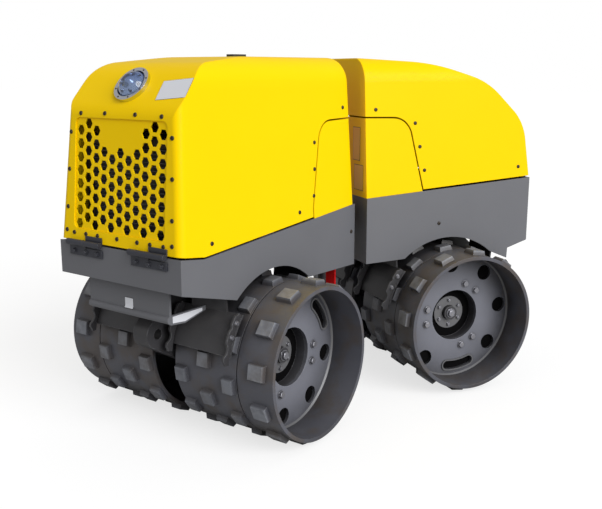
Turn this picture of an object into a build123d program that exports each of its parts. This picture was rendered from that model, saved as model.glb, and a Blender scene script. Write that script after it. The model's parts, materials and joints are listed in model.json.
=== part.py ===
from build123d import *
from math import asin, cos, radians, sin, sqrt, tan
import os

# Articulated trench roller: two drum units that steer and roll about a pivot between them.
# Millimetres. +X is the grille end, +Y the machine's left, +Z up, the ground at z = 0.
# Each half is drawn straight ahead of or behind the pivot, then set in its place.

os.makedirs("parts", exist_ok=True)

# Stance
STEER_DEG = -31.0
AXLE_X = 476.0
DRUM_R = 240.0
LUG_H = 16.0
TIP_R = DRUM_R + LUG_H
LUG_COUNT = 12
LUG_LONG = 44.0
LUG_ROOT = 3.0
LUG_TAPER_DEG = 14.0
LUG_TURN = 360 / LUG_COUNT / 4
AXLE_Z = TIP_R * cos(radians(LUG_TURN) - asin(LUG_LONG / 2 / TIP_R))

# Drums and their extension rings
DRUM_IN_Y = 50.0
SEAM_Y = 298.0
RING_OUT_Y = 430.0
SHELL_T = 12.0
WEB_T = 14.0
SEAM_GAP = 3.0
BORE_R = 93.0
CUP_DEPTH = 34.0
STUB_R = 26.0
FIT_GAP = 0.05
WINDOW_COUNT = 8
WINDOW_AT_R = 190.0
WINDOW_R = 28.0
SLOT_WINDOWS = (0, 3)
SLOT_ARC_DEG = 28.0
SLOT_R = 16.0
# lug rows: middle along y, width along y at the tip, turn of the first lug, on the ring or not
LUG_ROWS = [
    (79.0, 38.0, -LUG_TURN, False),
    (172.0, 40.0, LUG_TURN, False),
    (267.0, 36.0, -LUG_TURN, False),
    (374.0, 50.0, LUG_TURN, True),
]

# Body; heights count from the floor plate, which clears the lugs
FLOOR_GAP = 24.0
FLOOR_Z = AXLE_Z + TIP_R + FLOOR_GAP
LOW_Z = FLOOR_Z - 136.0
BODY_W = 252.0
BODY_H = 632.0
BODY_TOP_Z = FLOOR_Z + BODY_H
DRAFT_DEG = 4.0
DRAFT_FROM_Z = FLOOR_Z + 104.0
SHOULDER_R = 85.0
HOOD_T = 4.0
PLATE_T = 8.0
SEAM_DROP = 6.0
PANEL_GAP = 5.0
CORNER_R = 24.0
ARCH_R = TIP_R + 22.0
ARCH_FOOT_Z = FLOOR_Z - 68.0
FRONT_IN_X = 40.0
FRONT_SKIRT_IN_X = 28.0
FRONT_END_X = 884.0
REAR_IN_X = -142.0
REAR_END_X = -819.0
LOW_PLATE_X = FRONT_END_X - 34.0
LOW_PLATE_W = BODY_W - 84.0
LOW_PLATE_Z = FLOOR_Z - 99.0
LIP_R = 12.0

# Pivot between the halves
PIN_R = 25.0
HUB_R = 50.0
HUB_H = 84.0
FORK_T = 20.0
FORK_GAP = 1.0
FORK_BACK_X = 65.0
FORK_BACK_T = 32.0
ROLL_Z = FLOOR_Z + PLATE_T + FORK_T + FORK_GAP + HUB_H / 2
ROLL_R = 35.0
BEARING_T = 25.0
BEARING_L = 100.0
FLANGE_R = 74.0
FLANGE_T = 12.0
NUT_R = 50.0
NUT_T = 14.0

# Steering cylinder, on the machine's right
FOOT_X = 400.0
FOOT_Y = -110.0
ARM_X = -80.0
ARM_Y = -115.0
ARM_T = 20.0
BARREL_R = 28.0
BARREL_L = 280.0
BARREL_END_T = 16.0
ROD_R = 14.0
ROD_L = 330.0
EYE_R = 24.0
EYE_T = 24.0
EYE_PIN_R = 11.0
EYE_GAP = 2.0
NOTCH_Y = (-166.0, 62.0)

# Drum carriers
CARRIER_T = 60.0
BOSS_R = 110.0
MOTOR_R = 80.0
MOTOR_END_Y = SEAM_Y - CUP_DEPTH - WEB_T - 18.0
STUB_OUT = 20.0
PAD_HALF = 150.0
PAD_T = 24.0
NOSE_X = TIP_R + 34.0
NOSE_Z = AXLE_Z + 94.0
NOSE_R = 45.0
TIE_R = 16.0

# Scrapers
SCRAPER_GAP = 6.0
SCRAPER_T = 6.0
SCRAPER_DEG = (14.0, 42.0)
SCRAPER_Y = (DRUM_IN_Y + 6.0, SEAM_Y - 8.0)
HANGER_T = 10.0
HANGER_Y = (90.0, 230.0)

# Hood hinges
HINGE_R = 9.0
HINGE_PIN_R = 4.0
HINGE_L = 142.0
HINGE_Y = BODY_W - 120.0
HINGE_OUT = 11.0
FRONT_HINGE_Z = FLOOR_Z + 95.0
REAR_HINGE_Z = FLOOR_Z + 203.0
LEAF_T = 4.0
LEAF_DROP = 40.0
LEAF_RISE = 22.0
KNUCKLE_GAP = 1.0
LEAF_LIFT = 3.0
SKIN_GAP = 0.3

# Grille panel in the front of the hood
GRILLE_TOP_Z = BODY_TOP_Z - 166.0
GRILLE_LOW_Z = FLOOR_Z + 126.0
GRILLE_W = BODY_W - 56.0
GRILLE_T = 4.0
GRILLE_CORNER_R = 18.0
GRILLE_SPAN_X = 100.0
GRILLE_LAP = 8.0
CELL_PITCH = 39.0
CELL_FLAT = 28.0
CELL_COLUMNS = 11
CELL_ROWS = 8
BARE_HALF_Y = 70.0
BARE_FROM = 70.0

# Inside the front half
ENGINE = (410.0, 290.0, 290.0)
ENGINE_X = 530.0
ENGINE_Z = FLOOR_Z + 114.0
FOOT_SIDE = 44.0
FOOT_SPAN_Y = 80.0
RADIATOR = (44.0, 2 * BODY_W - 144.0, 400.0)
RADIATOR_X = FRONT_END_X - 78.0
CORE_SINK = 8.0
CORE_RIM = 26.0

# Receiver eye on the front shoulder
EYE_BALL_R = 46.0
EYE_RING_R = 58.0
EYE_RING_T = 12.0
EYE_BALL_H = 38.0
CAP_SIZE = (64.0, 36.0, 9.0)
CAP_CORNER_R = 8.0
CAP_X = 350.0

# Steering lock bar, hung on the front chassis beside the pivot
LOCK_Y = 150.0
LOCK_W = 38.0
LOCK_T = 8.0
LOCK_TOP_Z = FLOOR_Z - 12.0
LOCK_L = 170.0
LOCK_STUD_R = 8.0
LOCK_END_R = 10.0

# Whole-machine placing: the stored footprint's middle is at x = y = 0.
TURN = radians(STEER_DEG)
FRONT_REACH = FRONT_END_X + HINGE_OUT + HINGE_R
LEFT_REACH = RING_OUT_Y * cos(TURN) - (AXLE_X + DRUM_R) * sin(TURN)
BACK_REACH = (AXLE_X + DRUM_R) * cos(TURN) - RING_OUT_Y * sin(TURN)
PIVOT_X = (BACK_REACH - FRONT_REACH) / 2
PIVOT_Y = (RING_OUT_Y - LEFT_REACH) / 2
FRONT = Location((PIVOT_X, PIVOT_Y, 0))
REAR = Location((PIVOT_X, PIVOT_Y, 0), (0, 0, STEER_DEG))

# Hood side outlines: x, z, corner radius
FRONT_HOOD = [
    (FRONT_IN_X, LOW_Z, 0),
    (FRONT_IN_X, BODY_TOP_Z, 6),
    (FRONT_END_X - 384, BODY_TOP_Z, 500),
    (FRONT_END_X - 142, BODY_TOP_Z - 22, 130),
    (FRONT_END_X - 34, BODY_TOP_Z - 146, 70),
    (FRONT_END_X, FLOOR_Z + 99, 0),
    (FRONT_END_X + 20, LOW_Z, 0),
]
REAR_HOOD = [
    (REAR_IN_X, LOW_Z, 0),
    (REAR_IN_X, BODY_TOP_Z, 6),
    (REAR_END_X + 399, BODY_TOP_Z - 16, 700),
    (REAR_END_X + 179, BODY_TOP_Z - 83, 300),
    (REAR_END_X + 24, BODY_TOP_Z - 228, 170),
    (REAR_END_X, FLOOR_Z + 209, 60),
    (REAR_END_X, LOW_Z, 0),
]
# Seams between hood and chassis, from the pivot outwards: x, z
FRONT_SEAM = [
    (FRONT_SKIRT_IN_X - 20, FLOOR_Z + 147),
    (FRONT_END_X - 94, FLOOR_Z + 85),
    (FRONT_END_X + 40, FLOOR_Z + 104),
]
REAR_SEAM = [(REAR_IN_X + 20, FLOOR_Z + 162), (REAR_END_X - 40, FLOOR_Z + 209)]
# Lower edge of the chassis sides beyond the arch: x, z
FRONT_SKIRT = [(FRONT_END_X - 92, FLOOR_Z - 32), (FRONT_END_X, FLOOR_Z - 8)]
REAR_SKIRT = [
    (REAR_END_X + 86, FLOOR_Z - 100),
    (REAR_END_X + 84, FLOOR_Z - 62),
    (REAR_END_X, FLOOR_Z - 37),
]
# Fixed panel beside the pivot: distance from the inner face, z, corner radius
PANEL = [
    (-20, FLOOR_Z + 431, 0),
    (165, FLOOR_Z + 427, 70),
    (226, FLOOR_Z + 154, 0),
    (226, LOW_Z, 0),
    (-20, LOW_Z, 0),
]


def half_width(z, inset=0.0):
    """Half width of the drafted hood sides at height z."""
    return BODY_W - inset - (z - DRAFT_FROM_Z) * tan(radians(DRAFT_DEG))


def raked_plan(inset):
    """Plan of the front hood with rounded corners, leaning with its face and its sides."""
    brow_x, brow_z, _ = FRONT_HOOD[4]
    foot_x, foot_z, _ = FRONT_HOOD[5]
    rake = (foot_x - brow_x) / (brow_z - foot_z)
    low_x = foot_x + rake * (foot_z - LOW_Z) - inset * sqrt(1 + rake**2)
    low_y = half_width(LOW_Z, inset)
    with BuildPart() as plan:
        for side in (-1, 1):
            with BuildSketch(Plane.XY.offset(LOW_Z)):
                with Locations((low_x / 2, side * low_y / 2)):
                    Rectangle(low_x, low_y)
                fillet(vertices().sort_by(Axis((0, 0, 0), (1, side, 0)))[-1], CORNER_R - inset)
            lean = Vector(-rake, -side * tan(radians(DRAFT_DEG)), 1)
            extrude(amount=(BODY_TOP_Z - LOW_Z) * lean.length, dir=lean.normalized())
    return plan.part


def hood_form(outline, inset):
    """Hood form: the side outline crossed with the drafted, round-shouldered section."""
    with BuildPart() as form:
        with BuildSketch(Plane.XZ):
            with BuildLine():
                FilletPolyline(
                    *[(x, z) for x, z, _ in outline],
                    radius=[r for _, _, r in outline],
                    close=True,
                )
            make_face()
            if inset > 0:
                offset(amount=-inset)
        extrude(amount=2 * BODY_W, both=True)
        top = BODY_TOP_Z - inset
        with BuildSketch(Plane.YZ):
            with BuildLine():
                FilletPolyline(
                    (-half_width(LOW_Z, inset), LOW_Z),
                    (-half_width(top, inset), top),
                    (half_width(top, inset), top),
                    (half_width(LOW_Z, inset), LOW_Z),
                    radius=[0, SHOULDER_R - inset, SHOULDER_R - inset, 0],
                    close=True,
                )
            make_face()
        extrude(amount=2 * FRONT_END_X, both=True, mode=Mode.INTERSECT)
        if outline is FRONT_HOOD:
            add(raked_plan(inset), mode=Mode.INTERSECT)
    return form.part


def below_seam(seam):
    """Everything below a hood's seam."""
    with BuildPart() as slab:
        with BuildSketch(Plane.XZ):
            with BuildLine():
                Polyline(*seam, (seam[-1][0], 0), (seam[0][0], 0), close=True)
            make_face()
        extrude(amount=2 * BODY_W, both=True)
    return slab.part


def panel_block(inner_x, grow):
    """Region of the fixed panel beside the pivot, grown by a gap where it meets the hood."""
    way = 1 if inner_x > 0 else -1
    with BuildPart() as block:
        with BuildSketch(Plane.XZ):
            with BuildLine():
                FilletPolyline(
                    *[(inner_x + way * x, z) for x, z, _ in PANEL],
                    radius=[r for _, _, r in PANEL],
                    close=True,
                )
            make_face()
            if grow > 0:
                offset(amount=grow)
        extrude(amount=2 * BODY_W, both=True)
    return block.part


def lug_planes(y, turn):
    """Planes tangent to the drum, one for each lug of a row."""
    planes = []
    for step in range(LUG_COUNT):
        angle = radians(turn + step * 360 / LUG_COUNT)
        out = Vector(cos(angle), 0, sin(angle))
        foot = out * (DRUM_R - LUG_ROOT) + Vector(0, y, 0)
        planes.append(Plane(origin=foot, x_dir=(0, 1, 0), z_dir=out))
    return planes


def lugs(on_ring):
    """Tapered pads of the rows that a drum or its ring carries."""
    height = sqrt(TIP_R**2 - (LUG_LONG / 2) ** 2) - DRUM_R + LUG_ROOT
    spread = 2 * height * tan(radians(LUG_TAPER_DEG))
    with BuildPart() as pads:
        for y, width, turn, row_on_ring in LUG_ROWS:
            if row_on_ring == on_ring:
                with BuildSketch(*lug_planes(y, turn)):
                    Rectangle(width + spread, LUG_LONG + spread)
                extrude(amount=height, taper=LUG_TAPER_DEG)
    return pads.part


def turned(points):
    """Ring turned about the axle from a section given as radius and y."""
    with BuildPart() as solid:
        with BuildSketch(Plane.XY):
            with BuildLine():
                Polyline(*points, close=True)
            make_face()
        revolve(axis=Axis.Y)
    return solid.part


def arc_sheet(axle_x, way, inner_r, outer_r, low_deg, high_deg):
    """Sector between two radii about an axle, on the side that way points to."""
    start = low_deg if way > 0 else 180 - high_deg
    with BuildSketch() as sheet:
        with BuildLine():
            inner = CenterArc((axle_x, AXLE_Z), inner_r, start, high_deg - low_deg)
            outer = CenterArc((axle_x, AXLE_Z), outer_r, start, high_deg - low_deg)
            Line(inner @ 0, outer @ 0)
            Line(inner @ 1, outer @ 1)
        make_face()
    return sheet.sketch


# Drums and rings, drawn on the left with the axle on the y axis
drum_turning = turned(
        [
            (DRUM_R - SHELL_T, DRUM_IN_Y),
            (DRUM_R, DRUM_IN_Y),
            (DRUM_R, SEAM_Y - SEAM_GAP),
            (DRUM_R - SHELL_T, SEAM_Y - SEAM_GAP),
            (DRUM_R - SHELL_T, SEAM_Y),
            (BORE_R, SEAM_Y),
            (BORE_R, SEAM_Y - CUP_DEPTH),
            (STUB_R + FIT_GAP, SEAM_Y - CUP_DEPTH),
            (STUB_R + FIT_GAP, SEAM_Y - CUP_DEPTH - WEB_T),
            (BORE_R + SHELL_T, SEAM_Y - CUP_DEPTH - WEB_T),
            (BORE_R + SHELL_T, SEAM_Y - WEB_T),
            (DRUM_R - SHELL_T, SEAM_Y - WEB_T),
        ]
    )
drum_lugs = lugs(False)
with BuildPart() as drum_left:
    add(drum_turning)
    add(drum_lugs)

ring_turning = turned(
        [
            (BORE_R, SEAM_Y),
            (DRUM_R, SEAM_Y),
            (DRUM_R, RING_OUT_Y),
            (DRUM_R - SHELL_T, RING_OUT_Y),
            (DRUM_R - SHELL_T, SEAM_Y + SHELL_T),
            (BORE_R, SEAM_Y + SHELL_T),
        ]
    )
ring_lugs = lugs(True)

# halves: name, place, axle x, turn of the first window in its rings
HALVES = [("front", FRONT, AXLE_X, 11.0), ("rear", REAR, -AXLE_X, -96.0)]
for half_name, half, axle_x, first_window in HALVES:
    axle = Location((axle_x, 0, AXLE_Z))
    with BuildPart() as ring_left:
        add(ring_turning)
        for index in range(WINDOW_COUNT):
            turn = first_window + index * 360 / WINDOW_COUNT
            with BuildSketch(Plane.XZ.offset(-SEAM_Y - SHELL_T)):
                if index in SLOT_WINDOWS:
                    with BuildLine():
                        CenterArc((0, 0), WINDOW_AT_R, turn - SLOT_ARC_DEG / 2, SLOT_ARC_DEG)
                        offset(amount=SLOT_R)
                    make_face()
                else:
                    with PolarLocations(WINDOW_AT_R, 1, start_angle=turn):
                        Circle(WINDOW_R)
            extrude(amount=SHELL_T, mode=Mode.SUBTRACT)
        add(ring_lugs)
    for side in ("left", "right"):
        for kind, left_piece in (("drum", drum_left.part), ("ring", ring_left.part)):
            name = f"{half_name}_{kind}_{side}"
            with BuildPart() as wheel:
                add(left_piece)
                if side == "right":
                    mirror(about=Plane.XZ, mode=Mode.REPLACE)
            wheel.part.locate(half * axle)
            wheel.part.label = name
            export_step(wheel.part, f"parts/{name}.step")

# Chassis, carriers, scrapers and hoods of both halves
for half_name, half, axle_x, _ in HALVES:
    way = 1 if axle_x > 0 else -1
    outline = FRONT_HOOD if way > 0 else REAR_HOOD
    seam = FRONT_SEAM if way > 0 else REAR_SEAM
    inner_x = FRONT_IN_X if way > 0 else REAR_IN_X
    skirt_x = FRONT_SKIRT_IN_X if way > 0 else REAR_IN_X
    end_x = FRONT_END_X if way > 0 else REAR_END_X
    arch_x = sqrt(ARCH_R**2 - (ARCH_FOOT_Z - AXLE_Z) ** 2)
    skirt = FRONT_SKIRT if way > 0 else REAR_SKIRT
    chassis_top = below_seam([(x, z - SEAM_DROP) for x, z in seam])

    with BuildPart() as chassis:
        with BuildSketch(Plane.XZ):
            with BuildLine():
                arch = ThreePointArc(
                    (axle_x - way * arch_x, ARCH_FOOT_Z),
                    (axle_x, AXLE_Z + ARCH_R),
                    (axle_x + way * arch_x, ARCH_FOOT_Z),
                )
                Polyline(
                    arch @ 1,
                    *skirt,
                    (end_x, BODY_TOP_Z),
                    (skirt_x, BODY_TOP_Z),
                    (skirt_x, ARCH_FOOT_Z - SEAM_DROP),
                    arch @ 0,
                )
            make_face()
        extrude(amount=BODY_W, both=True)
        add(chassis_top, mode=Mode.INTERSECT)
        mid_x = (skirt_x + end_x) / 2
        long = abs(end_x - skirt_x) - 2 * PLATE_T
        wide = 2 * (BODY_W - PLATE_T)
        with BuildSketch(Plane.XY.offset(FLOOR_Z + PLATE_T)):
            with Locations((mid_x, 0)):
                Rectangle(long, wide)
        extrude(amount=BODY_TOP_Z, mode=Mode.SUBTRACT)
        with BuildSketch(Plane.XY.offset(FLOOR_Z)):
            with Locations((mid_x, 0)):
                Rectangle(long, wide)
        extrude(amount=-FLOOR_Z, mode=Mode.SUBTRACT)
        if way > 0:
            with BuildSketch(Plane.YZ.offset(LOW_PLATE_X - PLATE_T)):
                with BuildLine():
                    Polyline(
                        (-LOW_PLATE_W, LOW_PLATE_Z),
                        (-LOW_PLATE_W, FLOOR_Z),
                        (LOW_PLATE_W, FLOOR_Z),
                        (LOW_PLATE_W, LOW_PLATE_Z),
                        close=True,
                    )
                make_face()
            extrude(amount=PLATE_T)
            with BuildSketch(Plane.XZ.offset(-LOW_PLATE_W)):
                with Locations((LOW_PLATE_X - PLATE_T / 2, LOW_PLATE_Z)):
                    Circle(LIP_R)
            extrude(amount=2 * LOW_PLATE_W)
            with BuildSketch(Plane.XY.offset(FLOOR_Z + PLATE_T)):
                with Locations((skirt_x + PLATE_T / 2, sum(NOTCH_Y) / 2)):
                    Rectangle(PLATE_T, NOTCH_Y[1] - NOTCH_Y[0])
            extrude(amount=BODY_TOP_Z - FLOOR_Z, mode=Mode.SUBTRACT)
        else:
            with BuildSketch(Plane.YZ.offset(skirt_x)):
                with Locations((0, ROLL_Z)):
                    Circle(ROLL_R + BEARING_T + FIT_GAP)
            extrude(amount=-PLATE_T, mode=Mode.SUBTRACT)
    chassis.part.locate(half)
    chassis.part.label = f"{half_name}_chassis"
    export_step(chassis.part, f"parts/{half_name}_chassis.step")

    with BuildPart() as carrier:
        with BuildSketch(Plane.XZ):
            with Locations((axle_x, AXLE_Z)):
                Circle(BOSS_R)
            with Locations((axle_x + way * NOSE_X, NOSE_Z)):
                Circle(NOSE_R)
            with Locations((axle_x, FLOOR_Z - PAD_T / 2)):
                Rectangle(2 * PAD_HALF, PAD_T)
            make_hull()
            with Locations((axle_x + way * NOSE_X, NOSE_Z)):
                Circle(TIE_R, mode=Mode.SUBTRACT)
        extrude(amount=CARRIER_T / 2, both=True)
        with BuildSketch(Plane.XZ):
            with Locations((axle_x, AXLE_Z)):
                Circle(MOTOR_R)
        extrude(amount=MOTOR_END_Y, both=True)
        with BuildSketch(Plane.XZ):
            with Locations((axle_x, AXLE_Z)):
                Circle(STUB_R)
        extrude(amount=SEAM_Y - CUP_DEPTH + STUB_OUT, both=True)
    carrier.part.locate(half)
    carrier.part.label = f"{half_name}_carrier"
    export_step(carrier.part, f"parts/{half_name}_carrier.step")

    for end_name, end_way in (("inner", -way), ("outer", way)):
        near_r = TIP_R + SCRAPER_GAP
        far_r = near_r + SCRAPER_T
        high = radians(SCRAPER_DEG[1])
        hang_x = axle_x + end_way * near_r * cos(high)
        hang_z = AXLE_Z + near_r * sin(high)
        with BuildPart() as scraper:
            for y_way in (-1, 1):
                with BuildSketch(Plane.XZ.offset(-y_way * SCRAPER_Y[0])):
                    add(arc_sheet(axle_x, end_way, near_r, far_r, *SCRAPER_DEG))
                extrude(amount=-y_way * (SCRAPER_Y[1] - SCRAPER_Y[0]))
                with BuildSketch(Plane.XZ.offset(-y_way * HANGER_Y[0])):
                    with BuildLine():
                        Polyline(
                            (hang_x, hang_z),
                            (hang_x + end_way * SCRAPER_T, hang_z - SCRAPER_T),
                            (hang_x + end_way * (SCRAPER_T + HANGER_T), FLOOR_Z),
                            (hang_x + end_way * HANGER_T, FLOOR_Z),
                            close=True,
                        )
                    make_face()
                extrude(amount=-y_way * (HANGER_Y[1] - HANGER_Y[0]))
        scraper.part.locate(half)
        scraper.part.label = f"{half_name}_{end_name}_scrapers"
        export_step(scraper.part, f"parts/{half_name}_{end_name}_scrapers.step")

    outer_form = hood_form(outline, 0)
    inner_form = hood_form(outline, HOOD_T)
    under = below_seam(seam)
    panel_region = panel_block(inner_x, 0)
    panel_clear = panel_block(inner_x, PANEL_GAP)

    with BuildPart() as panel:
        add(outer_form)
        add(inner_form, mode=Mode.SUBTRACT)
        add(chassis_top, mode=Mode.SUBTRACT)
        add(panel_region, mode=Mode.INTERSECT)
    panel.part.locate(half)
    panel.part.label = f"{half_name}_panel"
    export_step(panel.part, f"parts/{half_name}_panel.step")

    with BuildPart() as hood:
        add(outer_form)
        add(inner_form, mode=Mode.SUBTRACT)
        add(under, mode=Mode.SUBTRACT)
        add(panel_clear, mode=Mode.SUBTRACT)
        if way > 0:
            with BuildSketch(Plane.YZ.offset(end_x - GRILLE_SPAN_X)):
                with Locations((0, (GRILLE_TOP_Z + GRILLE_LOW_Z) / 2)):
                    RectangleRounded(
                        2 * (GRILLE_W - GRILLE_LAP),
                        GRILLE_TOP_Z - GRILLE_LOW_Z - 2 * GRILLE_LAP,
                        GRILLE_CORNER_R,
                    )
            extrude(amount=2 * GRILLE_SPAN_X, mode=Mode.SUBTRACT)
    hood.part.locate(half)
    hood.part.label = f"{half_name}_hood"
    export_step(hood.part, f"parts/{half_name}_hood.step")

    # Hood hinges: fixed leaves with their pins, and the hood's leaves
    axis_x = end_x + way * HINGE_OUT
    axis_z = FRONT_HINGE_Z if way > 0 else REAR_HINGE_Z
    for leaf_name, z_reach, (low, high) in (
        ("hinge_base", -LEAF_DROP, (-0.5, 0.0)),
        ("hinge_leaf", LEAF_RISE, (0.0, 0.5)),
    ):
        with BuildPart() as leaf:
            for mid_y in (-HINGE_Y, HINGE_Y):
                start_y = mid_y + low * HINGE_L + (KNUCKLE_GAP if low == 0 else 0)
                end_y = mid_y + high * HINGE_L
                with BuildSketch(Plane.XZ.offset(-start_y)):
                    with Locations((axis_x, axis_z)):
                        Circle(HINGE_R)
                    with BuildLine():
                        lift = LEAF_LIFT if z_reach > 0 else 0.0
                        leaf_x = end_x + way * SKIN_GAP
                        leaf_out_x = leaf_x + way * LEAF_T
                        Polyline(
                            (leaf_x, axis_z + lift),
                            (axis_x, axis_z + lift),
                            (leaf_out_x, axis_z + z_reach / 3),
                            (leaf_out_x, axis_z + z_reach),
                            (leaf_x, axis_z + z_reach),
                            close=True,
                        )
                    make_face()
                    if z_reach > 0:
                        with Locations((axis_x, axis_z)):
                            Circle(HINGE_PIN_R + FIT_GAP, mode=Mode.SUBTRACT)
                extrude(amount=-(end_y - start_y))
                if z_reach < 0:
                    with BuildSketch(Plane.XZ.offset(-(mid_y - HINGE_L / 2))):
                        with Locations((axis_x, axis_z)):
                            Circle(HINGE_PIN_R)
                    extrude(amount=-HINGE_L)
        leaf.part.locate(half)
        leaf.part.label = f"{half_name}_{leaf_name}"
        export_step(leaf.part, f"parts/{half_name}_{leaf_name}.step")

# Honeycomb grille panel, seated behind the opening in the hood's raked front
hood_foot = FRONT_HOOD[5]
hood_brow = FRONT_HOOD[4]
slope = Vector(hood_brow[0] - hood_foot[0], 0, hood_brow[1] - hood_foot[1]).normalized()
face_out = Vector(slope.Z, 0, -slope.X)
grille_mid_z = (GRILLE_TOP_Z + GRILLE_LOW_Z) / 2
grille_mid = Vector(hood_foot[0], 0, hood_foot[1]) + slope * ((grille_mid_z - hood_foot[1]) / slope.Z)
grille_plane = Plane(origin=grille_mid - face_out * (HOOD_T + SKIN_GAP), x_dir=(0, 1, 0), z_dir=face_out)
with BuildPart() as grille:
    with BuildSketch(grille_plane):
        RectangleRounded(2 * GRILLE_W, GRILLE_TOP_Z - GRILLE_LOW_Z, GRILLE_CORNER_R)
        for column in range(CELL_COLUMNS):
            cell_y = (column - (CELL_COLUMNS - 1) / 2) * CELL_PITCH * cos(radians(30))
            shift = 0.25 if column % 2 else -0.25
            for row in range(CELL_ROWS):
                cell_z = (row - (CELL_ROWS - 1) / 2 + shift) * CELL_PITCH
                if abs(cell_y) < BARE_HALF_Y and cell_z > BARE_FROM:
                    continue
                with Locations((cell_y, cell_z)):
                    RegularPolygon(CELL_FLAT / 2, 6, major_radius=False, mode=Mode.SUBTRACT)
    extrude(amount=-GRILLE_T)
grille.part.locate(FRONT)
grille.part.label = "front_grille"
export_step(grille.part, "parts/front_grille.step")

# Receiver eye on the front shoulder and the small cap on the hood's top
shoulder_low = FRONT_HOOD[4]
shoulder_high = FRONT_HOOD[3]
brow = Vector(shoulder_high[0] - shoulder_low[0], 0, shoulder_high[1] - shoulder_low[1]).normalized()
brow_out = Vector(brow.Z, 0, -brow.X)
eye_at = Vector((shoulder_low[0] + shoulder_high[0]) / 2, 0, (shoulder_low[1] + shoulder_high[1]) / 2)
eye_plane = Plane(origin=eye_at, x_dir=(0, 1, 0), z_dir=brow_out)
with BuildPart() as eye_ring:
    with BuildSketch(eye_plane):
        Circle(EYE_RING_R)
        Circle(EYE_BALL_R + SKIN_GAP, mode=Mode.SUBTRACT)
    extrude(amount=EYE_RING_T)
eye_ring.part.locate(FRONT)
eye_ring.part.label = "receiver_ring"
export_step(eye_ring.part, "parts/receiver_ring.step")

dome_plane = Plane(origin=eye_at, x_dir=brow_out, z_dir=(0, 1, 0))
dome_r = (EYE_BALL_R**2 + EYE_BALL_H**2) / (2 * EYE_BALL_H)
with BuildPart() as eye:
    with BuildSketch(dome_plane):
        with BuildLine():
            Line((0, 0), (EYE_BALL_H, 0))
            RadiusArc((EYE_BALL_H, 0), (0, EYE_BALL_R), -dome_r)
            Line((0, EYE_BALL_R), (0, 0))
        make_face()
    revolve(axis=Axis(eye_at, brow_out))
eye.part.locate(FRONT)
eye.part.label = "receiver_eye"
export_step(eye.part, "parts/receiver_eye.step")

with BuildPart() as cap:
    with BuildSketch(Plane.XY.offset(BODY_TOP_Z)):
        with Locations((CAP_X, 0)):
            RectangleRounded(CAP_SIZE[0], CAP_SIZE[1], CAP_CORNER_R)
    extrude(amount=CAP_SIZE[2])
cap.part.locate(FRONT)
cap.part.label = "hood_cap"
export_step(cap.part, "parts/hood_cap.step")

# Steering lock bar, stowed flat on a stud of the front chassis
with BuildPart() as lock_bar:
    with BuildSketch(Plane.YZ.offset(FRONT_SKIRT_IN_X - SKIN_GAP)):
        with Locations((LOCK_Y, LOCK_TOP_Z - LOCK_L / 2)):
            RectangleRounded(LOCK_W, LOCK_L, LOCK_END_R)
    extrude(amount=-LOCK_T)
    with BuildSketch(Plane.YZ.offset(FRONT_SKIRT_IN_X - SKIN_GAP)):
        with Locations((LOCK_Y, LOCK_TOP_Z - LOCK_W / 2)):
            Circle(LOCK_STUD_R)
    extrude(amount=-LOCK_T - LOCK_STUD_R)
lock_bar.part.locate(FRONT)
lock_bar.part.label = "lock_bar"
export_step(lock_bar.part, "parts/lock_bar.step")

# Engine, as one plain block on its feet, and the radiator behind the grille
with BuildPart() as engine:
    with BuildSketch(Plane.XY.offset(ENGINE_Z)):
        with Locations((ENGINE_X, 0)):
            Rectangle(ENGINE[0], ENGINE[1])
    extrude(amount=ENGINE[2])
    with BuildSketch(Plane.XY.offset(ENGINE_Z)):
        with Locations((ENGINE_X, 0)):
            with GridLocations(ENGINE[0] - FOOT_SIDE, FOOT_SPAN_Y, 2, 2):
                Rectangle(FOOT_SIDE, FOOT_SIDE)
    extrude(amount=-(ENGINE_Z - FLOOR_Z - PLATE_T))
engine.part.locate(FRONT)
engine.part.label = "engine_block"
export_step(engine.part, "parts/engine_block.step")

with BuildPart() as radiator:
    with BuildSketch(Plane.XY.offset(FLOOR_Z + PLATE_T)):
        with Locations((RADIATOR_X, 0)):
            Rectangle(RADIATOR[0], RADIATOR[1])
    extrude(amount=RADIATOR[2])
    with BuildSketch(Plane.YZ.offset(RADIATOR_X + RADIATOR[0] / 2)):
        with Locations((0, FLOOR_Z + PLATE_T + RADIATOR[2] / 2)):
            Rectangle(RADIATOR[1] - 2 * CORE_RIM, RADIATOR[2] - 2 * CORE_RIM)
    extrude(amount=-CORE_SINK, mode=Mode.SUBTRACT)
radiator.part.locate(FRONT)
radiator.part.label = "radiator"
export_step(radiator.part, "parts/radiator.step")

# Fork on the front chassis floor with the steering pin
fork_low = FLOOR_Z + PLATE_T
fork_top = ROLL_Z + HUB_H / 2 + FORK_GAP
with BuildPart() as fork:
    for low in (fork_low, fork_top):
        with BuildSketch(Plane.XY.offset(low)):
            Circle(HUB_R)
            with Locations(((FORK_BACK_X + FORK_BACK_T) / 2, 0)):
                Rectangle(FORK_BACK_X + FORK_BACK_T, 2 * HUB_R)
        extrude(amount=FORK_T)
    with BuildSketch(Plane.XY.offset(fork_low)):
        with Locations((FORK_BACK_X + FORK_BACK_T / 2, 0)):
            Rectangle(FORK_BACK_T, 2 * HUB_R)
    extrude(amount=fork_top - fork_low)
    with BuildSketch(Plane.XY.offset(fork_low)):
        Circle(PIN_R)
    extrude(amount=fork_top - fork_low)
fork.part.locate(FRONT)
fork.part.label = "steering_fork"
export_step(fork.part, "parts/steering_fork.step")

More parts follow.
